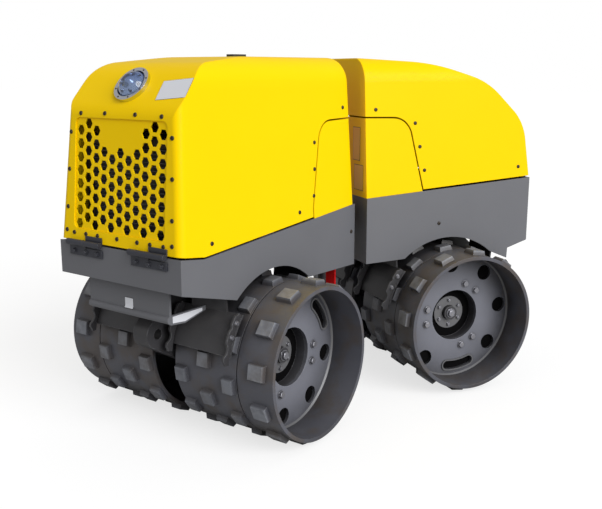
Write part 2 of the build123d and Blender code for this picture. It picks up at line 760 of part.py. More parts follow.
# Knuckle: turns on the steering pin, carries the roll shaft and the steering arm
bearing_end = REAR_IN_X + FLANGE_T - BEARING_L
with BuildPart() as knuckle:
    with BuildSketch(Plane.XY.offset(ROLL_Z - HUB_H / 2)):
        Circle(HUB_R)
    extrude(amount=HUB_H)
    with BuildSketch(Plane.YZ):
        with Locations((0, ROLL_Z)):
            Circle(ROLL_R)
    extrude(amount=bearing_end - 1)
    with BuildSketch(Plane.YZ.offset(bearing_end - 1)):
        with Locations((0, ROLL_Z)):
            RegularPolygon(NUT_R, 6)
    extrude(amount=-NUT_T)
    with BuildSketch(Plane.XY.offset(ROLL_Z - EYE_T / 2 - EYE_GAP - ARM_T)):
        with Locations((ARM_X, ARM_Y)):
            Circle(EYE_R)
        Circle(EYE_R)
        make_hull()
    extrude(amount=ARM_T)
    with BuildSketch(Plane.XY.offset(ROLL_Z - HUB_H / 2)):
        Circle(PIN_R + FIT_GAP)
    extrude(amount=HUB_H, mode=Mode.SUBTRACT)
knuckle.part.locate(REAR)
knuckle.part.label = "centre_knuckle"
export_step(knuckle.part, "parts/centre_knuckle.step")

# Roll bearing on the rear chassis
with BuildPart() as bearing:
    with BuildSketch(Plane.YZ.offset(REAR_IN_X)):
        with Locations((0, ROLL_Z)):
            Circle(FLANGE_R)
    extrude(amount=FLANGE_T)
    with BuildSketch(Plane.YZ.offset(bearing_end)):
        with Locations((0, ROLL_Z)):
            Circle(ROLL_R + BEARING_T)
    extrude(amount=BEARING_L)
    with BuildSketch(Plane.YZ.offset(bearing_end)):
        with Locations((0, ROLL_Z)):
            Circle(ROLL_R + FIT_GAP)
    extrude(amount=BEARING_L, mode=Mode.SUBTRACT)
bearing.part.locate(REAR)
bearing.part.label = "roll_bearing"
export_step(bearing.part, "parts/roll_bearing.step")

# Steering cylinder: foot bracket, barrel and rod, drawn along the line from foot to arm
arm_now = Vector(ARM_X, ARM_Y, 0).rotate(Axis.Z, STEER_DEG)
cyl_line = arm_now - Vector(FOOT_X, FOOT_Y, 0)
reach = cyl_line.length
cyl_dir = cyl_line.normalized()
with BuildPart() as foot:
    with BuildSketch(Plane.XY.offset(FLOOR_Z + PLATE_T)):
        with Locations((FOOT_X, FOOT_Y)):
            Circle(EYE_R)
    extrude(amount=ROLL_Z - EYE_T / 2 - FLOOR_Z - PLATE_T - SKIN_GAP)
    with BuildSketch(Plane.XY.offset(FLOOR_Z + PLATE_T)):
        with Locations((FOOT_X, FOOT_Y)):
            Circle(EYE_PIN_R)
    extrude(amount=ROLL_Z + EYE_T - FLOOR_Z - PLATE_T)
foot.part.locate(FRONT)
foot.part.label = "cylinder_foot"
export_step(foot.part, "parts/cylinder_foot.step")

foot_point = Vector(FOOT_X, FOOT_Y, ROLL_Z)
along = Plane(origin=foot_point, x_dir=(0, 0, 1), z_dir=cyl_dir)
with BuildPart() as barrel:
    with BuildSketch(Plane.XY.offset(ROLL_Z - EYE_T / 2)):
        with Locations((FOOT_X, FOOT_Y)):
            Circle(EYE_R)
    extrude(amount=EYE_T)
    with BuildSketch(along.offset(EYE_PIN_R + BARREL_END_T / 4)):
        Circle(EYE_PIN_R)
    extrude(amount=EYE_R)
    with BuildSketch(along.offset(EYE_R + BARREL_END_T / 4)):
        Circle(BARREL_R)
    extrude(amount=BARREL_L - EYE_R - BARREL_END_T / 4)
    with BuildSketch(along.offset(EYE_R + 5 * BARREL_END_T / 4)):
        Circle(ROD_R + FIT_GAP)
    extrude(amount=BARREL_L, mode=Mode.SUBTRACT)
    with BuildSketch(Plane.XY.offset(ROLL_Z - EYE_T)):
        with Locations((FOOT_X, FOOT_Y)):
            Circle(EYE_PIN_R + FIT_GAP)
    extrude(amount=2 * EYE_T, mode=Mode.SUBTRACT)
barrel.part.locate(FRONT)
barrel.part.label = "steering_barrel"
export_step(barrel.part, "parts/steering_barrel.step")

with BuildPart() as rod:
    with BuildSketch(along.offset(reach - ROD_L)):
        Circle(ROD_R)
    extrude(amount=ROD_L)
    with BuildSketch(Plane.XY.offset(ROLL_Z - EYE_T / 2)):
        with Locations((arm_now.X, arm_now.Y)):
            Circle(EYE_R)
    extrude(amount=EYE_T)
    with BuildSketch(Plane.XY.offset(ROLL_Z + EYE_T / 2)):
        with Locations((arm_now.X, arm_now.Y)):
            Circle(EYE_PIN_R)
    extrude(amount=EYE_PIN_R)
rod.part.locate(FRONT)
rod.part.label = "steering_rod"
export_step(rod.part, "parts/steering_rod.step")

print("pivot", PIVOT_X, PIVOT_Y, "reach", reach, "axle", AXLE_Z)
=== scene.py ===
import json
import logging
from collections.abc import Iterable, Mapping, Sequence
from dataclasses import dataclass, field, replace
from enum import Enum
from math import atan2, cos, hypot, pi, radians, sin, sqrt

import bmesh
import bpy
from mathutils import Matrix, Vector


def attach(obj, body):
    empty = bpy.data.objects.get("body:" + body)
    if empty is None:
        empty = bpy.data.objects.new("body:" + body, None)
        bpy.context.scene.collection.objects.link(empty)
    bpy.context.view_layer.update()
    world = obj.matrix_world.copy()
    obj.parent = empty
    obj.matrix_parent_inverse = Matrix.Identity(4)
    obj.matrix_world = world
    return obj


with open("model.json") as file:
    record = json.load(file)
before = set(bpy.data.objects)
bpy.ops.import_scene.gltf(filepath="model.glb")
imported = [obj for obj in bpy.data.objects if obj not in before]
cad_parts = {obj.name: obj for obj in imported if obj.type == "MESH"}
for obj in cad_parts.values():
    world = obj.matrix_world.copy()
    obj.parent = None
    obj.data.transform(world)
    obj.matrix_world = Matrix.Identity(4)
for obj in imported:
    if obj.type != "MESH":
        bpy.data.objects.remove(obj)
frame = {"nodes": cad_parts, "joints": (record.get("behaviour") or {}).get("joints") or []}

# Looks of an articulated trench roller: paint, fasteners, lens, plates and small fittings.
# Sizes are in millimetres. Points of one half are given as x ahead of the steering pivot,
# y to the left and z up from the ground, and are turned into the model's metres.

LOG = logging.getLogger("trench_roller")
MM = 0.001
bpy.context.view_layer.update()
NODES = frame["nodes"]
JOINTS = {joint["name"]: joint for joint in frame["joints"]}
PIVOT = Vector((*JOINTS["steer"]["pos_m"][:2], 0.0))
REAR_AHEAD = Vector(JOINTS["roll"]["axis"]).normalized()
AXLE_X = 476.0
AXLE_Z = JOINTS["front_left_turn"]["pos_m"][2] / MM
FLOOR_Z = AXLE_Z + 280.0
UP = Vector((0, 0, 1))
SMOOTH_DEG = 35.0  # edges sharper than this stay sharp
RAY_REACH = 60.0  # how far outside a point a ray to the surface starts
SUNK = -0.5  # base of a fitting, a little below the surface that it stands on
CELL_CORNERS = ((0, 0), (0, 1), (1, 1), (1, 0))

Colour = tuple[float, float, float]
Point = tuple[float, float, float]
Pair = tuple[float, float]
Tree = bpy.types.ShaderNodeTree
Node = bpy.types.ShaderNode
Socket = bpy.types.NodeSocket
Sockets = Mapping[str, Socket]
Inputs = dict[str | int, object]


def srgb(red: int, green: int, blue: int) -> Colour:
    """Linear colour of an 8-bit display colour."""
    return tuple(
        c / 12.92 if c <= 0.04045 else ((c + 0.055) / 1.055) ** 2.4
        for c in (red / 255, green / 255, blue / 255)
    )


class Side(Enum):
    """The machine's two sides, with the sign of y on each."""

    LEFT = 1
    RIGHT = -1

    @property
    def word(self) -> str:
        """The side as it stands in names."""
        return self.name.lower()


class Half(Enum):
    """The two halves of the machine."""

    FRONT = "front"
    REAR = "rear"

    @property
    def way(self) -> int:
        """Sign of x from the pivot to the half's outer end."""
        return 1 if self is Half.FRONT else -1

    @property
    def matrix(self) -> Matrix:
        """Placing of the half: x ahead of the pivot, y to the left, z up from the ground."""
        ahead = Vector((1, 0, 0)) if self is Half.FRONT else REAR_AHEAD
        turn = Matrix((ahead, UP.cross(ahead), UP)).transposed().to_4x4()
        return Matrix.Translation(PIVOT) @ turn

    @property
    def frame_body(self) -> str:
        """Body that carries the half's chassis."""
        return f"{self.value}_frame"

    def at(self, x: float, y: float, z: float) -> Vector:
        """Point of the half, in the model's frame."""
        return self.matrix @ (Vector((x, y, z)) * MM)

    def dir(self, x: float, y: float, z: float) -> Vector:
        """Direction given in the half's own axes, in the model's frame."""
        return (self.matrix.to_3x3() @ Vector((x, y, z))).normalized()


# Shader nodes


def feed(tree: Tree, node: Node, inputs: Inputs) -> None:
    """Link or set the inputs of a node.

    Args:
        tree: Tree that holds the node.
        node: The node.
        inputs: Socket or plain value of each input; None leaves the input alone.
    """
    for key, value in inputs.items():
        if isinstance(value, Socket):
            tree.links.new(value, node.inputs[key])
        elif value is not None:
            node.inputs[key].default_value = value


def add_node(tree: Tree, kind: str, inputs: Inputs, **options: object) -> Node:
    """Add a node.

    Args:
        tree: Tree that gets the node.
        kind: Blender's name of the node type.
        inputs: Socket or plain value of each input.
        options: Other settings of the node, by attribute.

    Returns:
        The node.
    """
    node = tree.nodes.new(kind)
    for key, value in options.items():
        setattr(node, key, value)
    feed(tree, node, inputs)
    return node


def math_node(tree: Tree, operation: str, first: object, second: object) -> Socket:
    """Output of a new Math node of two sockets or numbers."""
    return add_node(tree, "ShaderNodeMath", {0: first, 1: second}, operation=operation).outputs[0]


def vector_node(tree: Tree, operation: str, first: Socket, second: Socket | None = None) -> Sockets:
    """Outputs of a new Vector Math node of one or two sockets."""
    inputs = {0: first, 1: second}
    return add_node(tree, "ShaderNodeVectorMath", inputs, operation=operation).outputs


def product(tree: Tree, first: Socket, *others: Socket) -> Socket:
    """Product of two or more sockets."""
    for other in others:
        first = math_node(tree, "MULTIPLY", first, other)
    return first


def range_node(tree: Tree, value: Socket, source: Pair, target: Pair = (0, 1)) -> Socket:
    """Output of a new clamped Map Range node from a source range to a target range."""
    ends = dict(zip(("From Min", "From Max", "To Min", "To Max"), (*source, *target)))
    return add_node(tree, "ShaderNodeMapRange", {"Value": value, **ends}).outputs["Result"]


def noise_node(tree: Tree, scale: object, detail: float = 4.0) -> Socket:
    """Output of a new noise, fixed to the object, of a scale and a number of octaves."""
    place = add_node(tree, "ShaderNodeTexCoord", {}).outputs["Object"]
    inputs = {"Vector": place, "Scale": scale, "Detail": detail}
    return add_node(tree, "ShaderNodeTexNoise", inputs).outputs["Fac"]


def mixed(tree: Tree, factor: Socket, first: object, second: object) -> Socket:
    """Output of a new mix of two colours, each a socket or a plain colour."""
    colours = [value if isinstance(value, Socket) else (*value, 1) for value in (first, second)]
    inputs = {"Factor": factor, 6: colours[0], 7: colours[1]}  # 6 and 7 are the colour inputs
    return add_node(tree, "ShaderNodeMix", inputs, data_type="RGBA").outputs[2]


def new_material(name: str) -> tuple[bpy.types.Material, Tree, Node]:
    """Make a node material, and give it with its tree and its Principled shader."""
    made = bpy.data.materials.new(name)
    made.use_nodes = True
    return made, made.node_tree, made.node_tree.nodes["Principled BSDF"]


# Shader effects


class ShaderEffect:
    """A node group made once and placed in each material that uses it."""

    name: str = ""

    def group(self) -> Tree:
        """Node group of the effect, built on first use."""
        found = bpy.data.node_groups.get(self.name)
        if found is None:
            found = bpy.data.node_groups.new(self.name, "ShaderNodeTree")
            self.build(found)
        return found

    def build(self, tree: Tree) -> None:
        """Fill the empty group with the effect's sockets and nodes."""
        raise NotImplementedError

    def place(self, tree: Tree, inputs: Inputs) -> Sockets:
        """Put the effect in a material, and give its outputs."""
        return add_node(tree, "ShaderNodeGroup", inputs, node_tree=self.group()).outputs

    @staticmethod
    def sockets(
        tree: Tree,
        inputs: dict[str, float | Point],
        outputs: Iterable[str],
        kind: str = "NodeSocketFloat",
    ) -> tuple[Sockets, Node]:
        """Give the group its named sockets.

        Args:
            tree: The group.
            inputs: Input names with their default values.
            outputs: Output names.
            kind: Socket type of the outputs.

        Returns:
            The given inputs as sockets, and the group's output node.
        """
        for key, value in inputs.items():
            shape = "NodeSocketVector" if isinstance(value, tuple) else "NodeSocketFloat"
            tree.interface.new_socket(key, in_out="INPUT", socket_type=shape).default_value = value
        for key in outputs:
            tree.interface.new_socket(key, in_out="OUTPUT", socket_type=kind)
        return tree.nodes.new("NodeGroupInput").outputs, tree.nodes.new("NodeGroupOutput")


class SoftEdges(ShaderEffect):
    """Normal that runs round small radii at the edges."""

    name = "soft_edges"

    def build(self, tree: Tree) -> None:
        """Put out the rounded normal."""
        given, end = self.sockets(tree, {"Radius": 0.002}, ["Normal"], "NodeSocketVector")
        rounded = add_node(tree, "ShaderNodeBevel", {"Radius": given["Radius"]}, samples=6)
        feed(tree, end, {"Normal": rounded.outputs["Normal"]})


class WornEdges(ShaderEffect):
    """Mask of edges, broken up by noise."""

    name = "worn_edges"
    edge_from: Pair = (0.985, 0.80)  # cosine of the two normals at a faint and a full edge
    break_from: Pair = (0.38, 0.62)

    def build(self, tree: Tree) -> None:
        """Compare the rounded normal with the true one, and break the result with noise."""
        inputs = {"Reach": 0.003, "Breakup": 60.0, "Amount": 1.0}
        given, end = self.sockets(tree, inputs, ["Mask"])
        rounded = add_node(tree, "ShaderNodeBevel", {"Radius": given["Reach"]}, samples=4)
        shape = add_node(tree, "ShaderNodeNewGeometry", {})
        normals = (rounded.outputs["Normal"], shape.outputs["Normal"])
        alike = vector_node(tree, "DOT_PRODUCT", *normals)["Value"]
        edge = range_node(tree, alike, self.edge_from)
        broken = range_node(tree, noise_node(tree, given["Breakup"], 6.0), self.break_from)
        feed(tree, end, {"Mask": product(tree, edge, broken, given["Amount"])})


class FineGrain(ShaderEffect):
    """Unevenness of a sprayed or cast surface: a fine height and a slowly varying shade."""

    name = "fine_grain"

    def build(self, tree: Tree) -> None:
        """Put out a fine noise for the height and a broad one for the shade."""
        inputs = {"Grain Scale": 900.0, "Cloud Scale": 6.0}
        given, end = self.sockets(tree, inputs, ["Height", "Shade"])
        height = noise_node(tree, given["Grain Scale"], 3.0)
        feed(tree, end, {"Height": height, "Shade": noise_node(tree, given["Cloud Scale"])})


class SettledDust(ShaderEffect):
    """Mask of fine dust on faces that look up, patchy."""

    name = "settled_dust"
    least: float = 0.15  # upwardness that even upright faces count as

    def build(self, tree: Tree) -> None:
        """Take the upward part of the normal and break it with noise."""
        given, end = self.sockets(tree, {"Patch Scale": 14.0, "Amount": 0.3}, ["Mask"])
        shape = add_node(tree, "ShaderNodeNewGeometry", {})
        axes = add_node(tree, "ShaderNodeSeparateXYZ", {0: shape.outputs["Normal"]})
        upward = math_node(tree, "MAXIMUM", axes.outputs["Z"], self.least)
        patchy = noise_node(tree, given["Patch Scale"], 8.0)
        feed(tree, end, {"Mask": product(tree, upward, patchy, given["Amount"])})


class RecessShadeAndGrime(ShaderEffect):
    """Mask of painted shade in corners and hollows, from ambient occlusion, patchy like grime."""

    name = "recess_grime"
    hollow_from: Pair = (0.92, 0.25)  # open sky at a faint and a full hollow

    def build(self, tree: Tree) -> None:
        """Turn the closeness of nearby faces into a mask."""
        given, end = self.sockets(tree, {"Reach": 0.12, "Amount": 0.6}, ["Mask"])
        near = add_node(tree, "ShaderNodeAmbientOcclusion", {"Distance": given["Reach"]}, samples=6)
        hollow = range_node(tree, near.outputs["AO"], self.hollow_from)
        patchy = math_node(tree, "ADD", noise_node(tree, 22.0, 6.0), 0.5)
        patchy = math_node(tree, "MINIMUM", patchy, 1.0)
        feed(tree, end, {"Mask": product(tree, hollow, patchy, given["Amount"])})


class TreadWear(ShaderEffect):
    """Masks of one drum line: lug tops rubbed by the ground, the shell, and its stains."""

    name = "tread_wear"
    lug_top: Pair = (0.009, 0.001)  # metres below the lugs' tips where the rubbing fades in
    shell_in: Pair = (0.0296, 0.0286)  # the same for the shell's inner face

    def build(self, tree: Tree) -> None:
        """Measure the distance from the axle and break the result with noise."""
        inputs = {"Tip Radius": 0.256, "Amount": 0.62, "Centre": (0, 0, 0), "Axis": (0, 1, 0)}
        given, end = self.sockets(tree, inputs, ["Rubbed", "Shell", "Stain"])
        place = add_node(tree, "ShaderNodeTexCoord", {}).outputs["Object"]
        arm = vector_node(tree, "SUBTRACT", place, given["Centre"])["Vector"]
        across = vector_node(tree, "CROSS_PRODUCT", arm, given["Axis"])["Vector"]
        from_axle = vector_node(tree, "LENGTH", across)["Value"]
        below = math_node(tree, "SUBTRACT", given["Tip Radius"], from_axle)
        top = range_node(tree, below, self.lug_top)
        patchy = range_node(tree, noise_node(tree, 35.0, 6.0), (0.3, 0.6), (0.35, 1.0))
        shell = range_node(tree, below, self.shell_in)
        spots = range_node(tree, noise_node(tree, 11.0, 5.0), (0.45, 0.62), (0.0, 0.75))
        rubbed = product(tree, top, patchy, given["Amount"])
        stain = product(tree, shell, spots)
        feed(tree, end, {"Rubbed": rubbed, "Shell": shell, "Stain": stain})


ROUNDING = SoftEdges()
EDGES = WornEdges()
GRAIN = FineGrain()
DUST = SettledDust()
SHADE_AND_GRIME = RecessShadeAndGrime()
TREAD = TreadWear()


# Finishes

DUST_COLOUR = srgb(176, 170, 160)
# Near-black laid in hollows: painted shade, patchy like grime.
SHADE_AND_GRIME_COLOUR = srgb(24, 22, 22)
ROUGHNESS_SPREAD = (-0.05, 0.07)
BUMP_STRENGTH = 0.5
COAT_ROUGHNESS = 0.06


@dataclass(frozen=True)
class Coating:
    """A material that is built on first use."""

    name: str

    def material(self) -> bpy.types.Material:
        """Material of the coating."""
        made = bpy.data.materials.get(self.name)
        if made is None:
            made, tree, skin = new_material(self.name)
            self.build(tree, skin)
        return made

    def build(self, tree: Tree, skin: Node) -> None:
        """Fill the new material's tree, which ends in a Principled shader."""
        raise NotImplementedError


@dataclass(frozen=True)
class Finish(Coating):
    """Surface finish of a group of pieces.

    Attributes:
        name: Material name.
        colour: Base colour, linear.
        cloud: Second colour that broad patches lean to.
        roughness: Roughness of the clean surface.
        metallic: 1 for bare metal.
        coat: Strength of a clear gloss on top.
        grain: Depth of the fine bump, in millimetres.
        grain_scale: Fineness of the bump.
        radius: Radius that edges seem to have, in millimetres.
        worn: Colour that shows at worn edges.
        wear: How much of the edges is worn.
        dust: How much dust lies on it.
        grime: How dark its hollows are: painted shade, patchy like grime.
        shine: Strength of plain reflections.
        tread: Half whose lug tops are rubbed, for a drum.
        shell: Colour of a drum's shell.
        stain: Colour of the stains on a shell.
    """

    colour: Colour
    cloud: Colour
    roughness: float
    metallic: float = 0.0
    coat: float = 0.0
    grain: float = 0.02
    grain_scale: float = 900.0
    radius: float = 1.0
    worn: Colour = (0.3, 0.3, 0.3)
    wear: float = 0.0
    dust: float = 0.0
    grime: float = 0.0
    shine: float = 0.5
    tread: Half | None = None
    shell: Colour = srgb(84, 85, 93)
    stain: Colour = srgb(84, 76, 71)

    def tone(self, tree: Tree, cloudy: Socket) -> Socket:
        """Lay wear, dust, and painted shade with grime in hollows over the paint, clouded by a
        broad noise.
        """
        tone = mixed(tree, cloudy, self.colour, self.cloud)
        if self.wear > 0:
            edges = EDGES.place(tree, {"Reach": 2 * self.radius * MM, "Amount": self.wear})
            tone = mixed(tree, edges["Mask"], tone, self.worn)
        if self.tread is not None:
            centre = self.tread.at(self.tread.way * AXLE_X, 0, AXLE_Z)
            line = TREAD.place(tree, {"Centre": centre, "Axis": self.tread.dir(0, 1, 0)})
            layers = {"Shell": self.shell, "Stain": self.stain, "Rubbed": self.worn}
            for mask, colour in layers.items():
                tone = mixed(tree, line[mask], tone, colour)
        # Dust on upward faces, then near-black in hollows by ambient occlusion: painted shade,
        # patchy like grime.
        soils_and_shade = ((DUST, self.dust, DUST_COLOUR), (SHADE_AND_GRIME, self.grime, SHADE_AND_GRIME_COLOUR))
        for effect, amount, colour in soils_and_shade:
            if amount > 0:
                mask = effect.place(tree, {"Amount": amount})["Mask"]
                tone = mixed(tree, mask, tone, colour)
        return tone

    def build(self, tree: Tree, skin: Node) -> None:
        """Fill the new material's tree, which ends in a Principled shader."""
        grain = GRAIN.place(tree, {"Grain Scale": self.grain_scale})
        spread = tuple(self.roughness + change for change in ROUGHNESS_SPREAD)
        bump = {
            "Strength": BUMP_STRENGTH,
            "Distance": self.grain * MM,
            "Height": grain["Height"],
            "Normal": ROUNDING.place(tree, {"Radius": self.radius * MM})["Normal"],
        }
        look = {
            "Base Color": self.tone(tree, grain["Shade"]),
            "Metallic": self.metallic,
            "Specular IOR Level": self.shine,
            "Coat Weight": self.coat,
            "Coat Roughness": COAT_ROUGHNESS,
            "Roughness": range_node(tree, grain["Shade"], (0, 1), spread),
            "Normal": add_node(tree, "ShaderNodeBump", bump).outputs["Normal"],
        }
        feed(tree, skin, look)


@dataclass(frozen=True)
class ClearLens(Coating):
    """Clear moulded dome, tinted towards its top."""

    clear: Colour
    tint: Colour
    roughness: float = 0.03
    index: float = 1.3

    def build(self, tree: Tree, skin: Node) -> None:
        """Fill the new material's tree, which ends in a Principled shader."""
        upward = DUST.place(tree, {"Patch Scale": 3.0, "Amount": 1.9})["Mask"]
        look = {
            "Base Color": mixed(tree, upward, self.clear, self.tint),
            "Roughness": self.roughness,
            "IOR": self.index,
            "Transmission Weight": 0.85,
            "Coat Weight": 0.8,
        }
        feed(tree, skin, look)


YELLOW = Finish(
    "yellow_gloss_paint", srgb(253, 212, 0), srgb(252, 208, 0), roughness=0.42, coat=0.03,
    shine=0.06, grain=0.03, grain_scale=420.0, radius=3.0,
)
GREY = Finish(
    "grey_satin_paint", srgb(100, 101, 106), srgb(106, 107, 112), roughness=0.5, grain=0.03,
    grain_scale=700.0, radius=2.0, dust=0.06, grime=0.3,
)
CAST = Finish(
    "drum_cast_paint", srgb(94, 95, 103), srgb(66, 65, 69), roughness=0.4, grain=0.3,
    grain_scale=240.0, radius=3.0, worn=srgb(136, 140, 148), wear=0.6, dust=0.12, grime=0.85,
)
DISC = Finish(
    "ring_paint", srgb(124, 126, 136), srgb(100, 101, 109), roughness=0.38, grain=0.15,
    grain_scale=320.0, radius=2.5, worn=srgb(150, 154, 162), wear=0.7, dust=0.08, grime=0.9,
)
# Near-black sheets where there is only shade, in the wheels' windows and round the hubs: painted
# shade.
SHADE = Finish("hollow_shade", srgb(12, 11, 12), srgb(6, 6, 7), roughness=0.7, shine=0.05)
UNDER = Finish(
    "frame_dark_paint", srgb(66, 66, 70), srgb(52, 51, 54), roughness=0.46, grain=0.1,
    grain_scale=300.0, radius=2.0, worn=srgb(140, 142, 148), wear=0.6, dust=0.15, grime=0.8,
)
HINGE_PAINT = Finish(
    "hinge_grey_paint", srgb(54, 56, 66), srgb(46, 47, 55), roughness=0.4,
    worn=srgb(150, 152, 158), wear=0.4, grime=0.5,
)
ZINC = Finish(
    "zinc_steel", srgb(176, 176, 182), srgb(140, 140, 148), roughness=0.38, metallic=0.8,
    radius=0.6, grime=0.6,
)
SCREW_BLACK = Finish(
    "black_screw", srgb(52, 40, 26), srgb(34, 26, 20), roughness=0.42, radius=0.5
)
CHROME = Finish(
    "hard_chrome", srgb(222, 223, 228), srgb(206, 208, 214), roughness=0.12, metallic=1.0,
    radius=0.8,
)
IRON = Finish(
    "engine_iron", srgb(58, 58, 60), srgb(44, 44, 46), roughness=0.6, grain=0.2,
    grain_scale=200.0, radius=3.0, grime=0.6,
)
CORE_BLACK = Finish("radiator_black", srgb(40, 33, 28), srgb(32, 27, 25), roughness=0.5)
ALUMINIUM = Finish(
    "fin_aluminium", srgb(120, 122, 128), srgb(60, 56, 54), roughness=0.45, metallic=0.6
)
PLASTIC = Finish(
    "black_plastic", srgb(36, 36, 38), srgb(29, 29, 31), roughness=0.55, grime=0.3
)
RED = Finish("red_paint", srgb(226, 22, 24), srgb(200, 16, 18), roughness=0.4, coat=0.2)
WHITE_PLATE = Finish("white_plate", srgb(224, 226, 232), srgb(212, 214, 220), roughness=0.4)
YELLOW_PLATE = Finish("yellow_plate", srgb(240, 190, 30), srgb(232, 182, 26), roughness=0.4)
PLATE_EDGE = Finish("plate_edge_black", srgb(30, 28, 26), srgb(22, 20, 20), roughness=0.5)
LENS = ClearLens("eye_dome_lens", clear=srgb(150, 168, 196), tint=srgb(24, 72, 150))

# Finish of each CAD node, by its name or by its name without the half.
NODE_FINISHES: dict[str, Coating] = {
    **dict.fromkeys(("hood", "panel", "grille"), YELLOW),
    **dict.fromkeys(("carrier", "inner_scrapers", "outer_scrapers", "cylinder_foot"), UNDER),
    **dict.fromkeys(("steering_fork", "centre_knuckle", "roll_bearing", "steering_barrel"), UNDER),
    **dict.fromkeys(("hinge_base", "hinge_leaf"), HINGE_PAINT),
    **dict.fromkeys(("receiver_ring", "steering_rod"), CHROME),
    **{
        f"{half.value}_{part}_{side.word}": replace(
            finish, name=f"{half.value}_{part}_paint", tread=half
        )
        for part, finish in (("drum", CAST), ("ring", DISC))
        for half in Half
        for side in Side
    },
    "chassis": GREY,
    "receiver_eye": LENS,
    "hood_cap": PLASTIC,
    "engine_block": IRON,
    "radiator": CORE_BLACK,
    "lock_bar": RED,
}


# Mesh helpers


class MeshMaker:
    """Collects shapes in one mesh and turns them into a piece."""

    def __init__(self) -> None:
        """Start with an empty mesh."""
        self.mesh = bmesh.new()

    def loft(
        self, sections: Sequence[Sequence[Vector]], place: Matrix, closed: bool = True
    ) -> None:
        """Add a skin over rings of points.

        Args:
            sections: Rings in the place's own axes, each with the same number of points.
            place: Matrix that sets the points.
            closed: Whether the two end rings get faces, or else join each other.
        """
        new_vert, new_face = self.mesh.verts.new, self.mesh.faces.new
        rings = [[new_vert(place @ (point * MM)) for point in ring] for ring in sections]
        count = len(rings[0])
        pairs = list(zip(rings, rings[1:]))
        if not closed:
            pairs.append((rings[-1], rings[0]))
        for low, high in pairs:
            for index in range(count):
                after = (index + 1) % count
                new_face((low[index], low[after], high[after], high[index]))
        if closed:
            new_face(list(reversed(rings[0])))
            new_face(rings[-1])

    def prism(self, outline: Sequence[Pair], place: Matrix, height: float) -> None:
        """Add a straight prism that grows from an outline along its plane's z."""
        self.loft([level_ring(outline, level) for level in (0, height)], place)

    def upright(self, outline: Sequence[Pair], half: Half, faces_y: Pair) -> None:
        """Add an upright plate of a half, by its x and z corners and the y of both faces."""
        self.loft([[Vector((x, y, z)) for x, z in outline] for y in faces_y], half.matrix)

    def turned(
        self, profile: Sequence[Pair], place: Matrix, segments: int, hollow: bool = False
    ) -> None:
        """Add a turned shape.

        Args:
            profile: Radius and height pairs.
            place: Matrix of the turning axis, along its z.
            segments: Number of sides.
            hollow: Whether the profile closes on itself as a ring does.
        """
        angles = [2 * pi * step / segments for step in range(segments)]
        rings = [level_ring([polar(r, angle) for angle in angles], h) for r, h in profile]
        self.loft(rings, place, closed=not hollow)

    def piece(
        self, name: str, body: str, finish: Finish, slot: str, bevel: float = 0.0
    ) -> None:
        """Turn the collected shapes into an object that rides on a body.

        Args:
            name: Object name.
            body: Body it moves with.
            finish: Its finish.
            slot: Material slot of the record that it belongs to; not used.
            bevel: Width of rounded edges, or 0.
        """
        bmesh.ops.recalc_face_normals(self.mesh, faces=self.mesh.faces)
        data = bpy.data.meshes.new(name)
        self.mesh.to_mesh(data)
        self.mesh.free()
        data.materials.append(finish.material())
        data.polygons.foreach_set("use_smooth", [True] * len(data.polygons))
        data.set_sharp_from_angle(angle=radians(SMOOTH_DEG))
        made = bpy.data.objects.new(name, data)
        bpy.context.scene.collection.objects.link(made)
        if bevel > 0:
            rounding = made.modifiers.new("rounded_edges", "BEVEL")
            rounding.width = bevel * MM
            rounding.segments = 2
            rounding.limit_method = "ANGLE"
            rounding.angle_limit = radians(SMOOTH_DEG)
            rounding.harden_normals = True
        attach(made, body)
        LOG.info("%s: %d faces on %s", name, len(data.polygons), body)


def polar(radius: float, angle: float) -> Pair:
    """Point at a radius and an angle about the origin."""
    return radius * cos(angle), radius * sin(angle)


def level_ring(outline: Iterable[Pair], level: float) -> list[Vector]:
    """Outline's points at a height."""
    return [Vector((x, y, level)) for x, y in outline]


def moved(place: Matrix, x: float, y: float, z: float = 0.0) -> Matrix:
    """Plane shifted along its own axes."""
    return place @ Matrix.Translation(Vector((x, y, z)) * MM)


def facing(origin: Vector, out: Vector, up: Vector = UP) -> Matrix:
    """Matrix of a plane on a surface.

    Args:
        origin: Point on the surface.
        out: Outward direction, which becomes z.
        up: Direction that y leans to.

    Returns:
        The plane's matrix.
    """
    z_way = out.normalized()
    x_way = up.cross(z_way)
    if x_way.length < 1e-4:
        x_way = Vector((1, 0, 0))
    x_way.normalize()
    axes = Matrix((x_way, z_way.cross(x_way), z_way)).transposed()
    return Matrix.Translation(origin) @ axes.to_4x4()


def box_outline(width: float, height: float, radius: float, steps: int = 4) -> list[Pair]:
    """Rectangle with round corners about its middle, with steps + 1 points a corner.

    Args:
        width: Size along x.
        height: Size along y.
        radius: Corner radius.
        steps: Steps of each corner.

    Returns:
        The outline's points.
    """
    points = []
    for turn, (x_way, y_way) in enumerate(((1, 1), (-1, 1), (-1, -1), (1, -1))):
        for step in range(steps + 1):
            x, y = polar(radius, pi / 2 * (turn + step / steps))
            points.append((x_way * (width / 2 - radius) + x, y_way * (height / 2 - radius) + y))
    return points


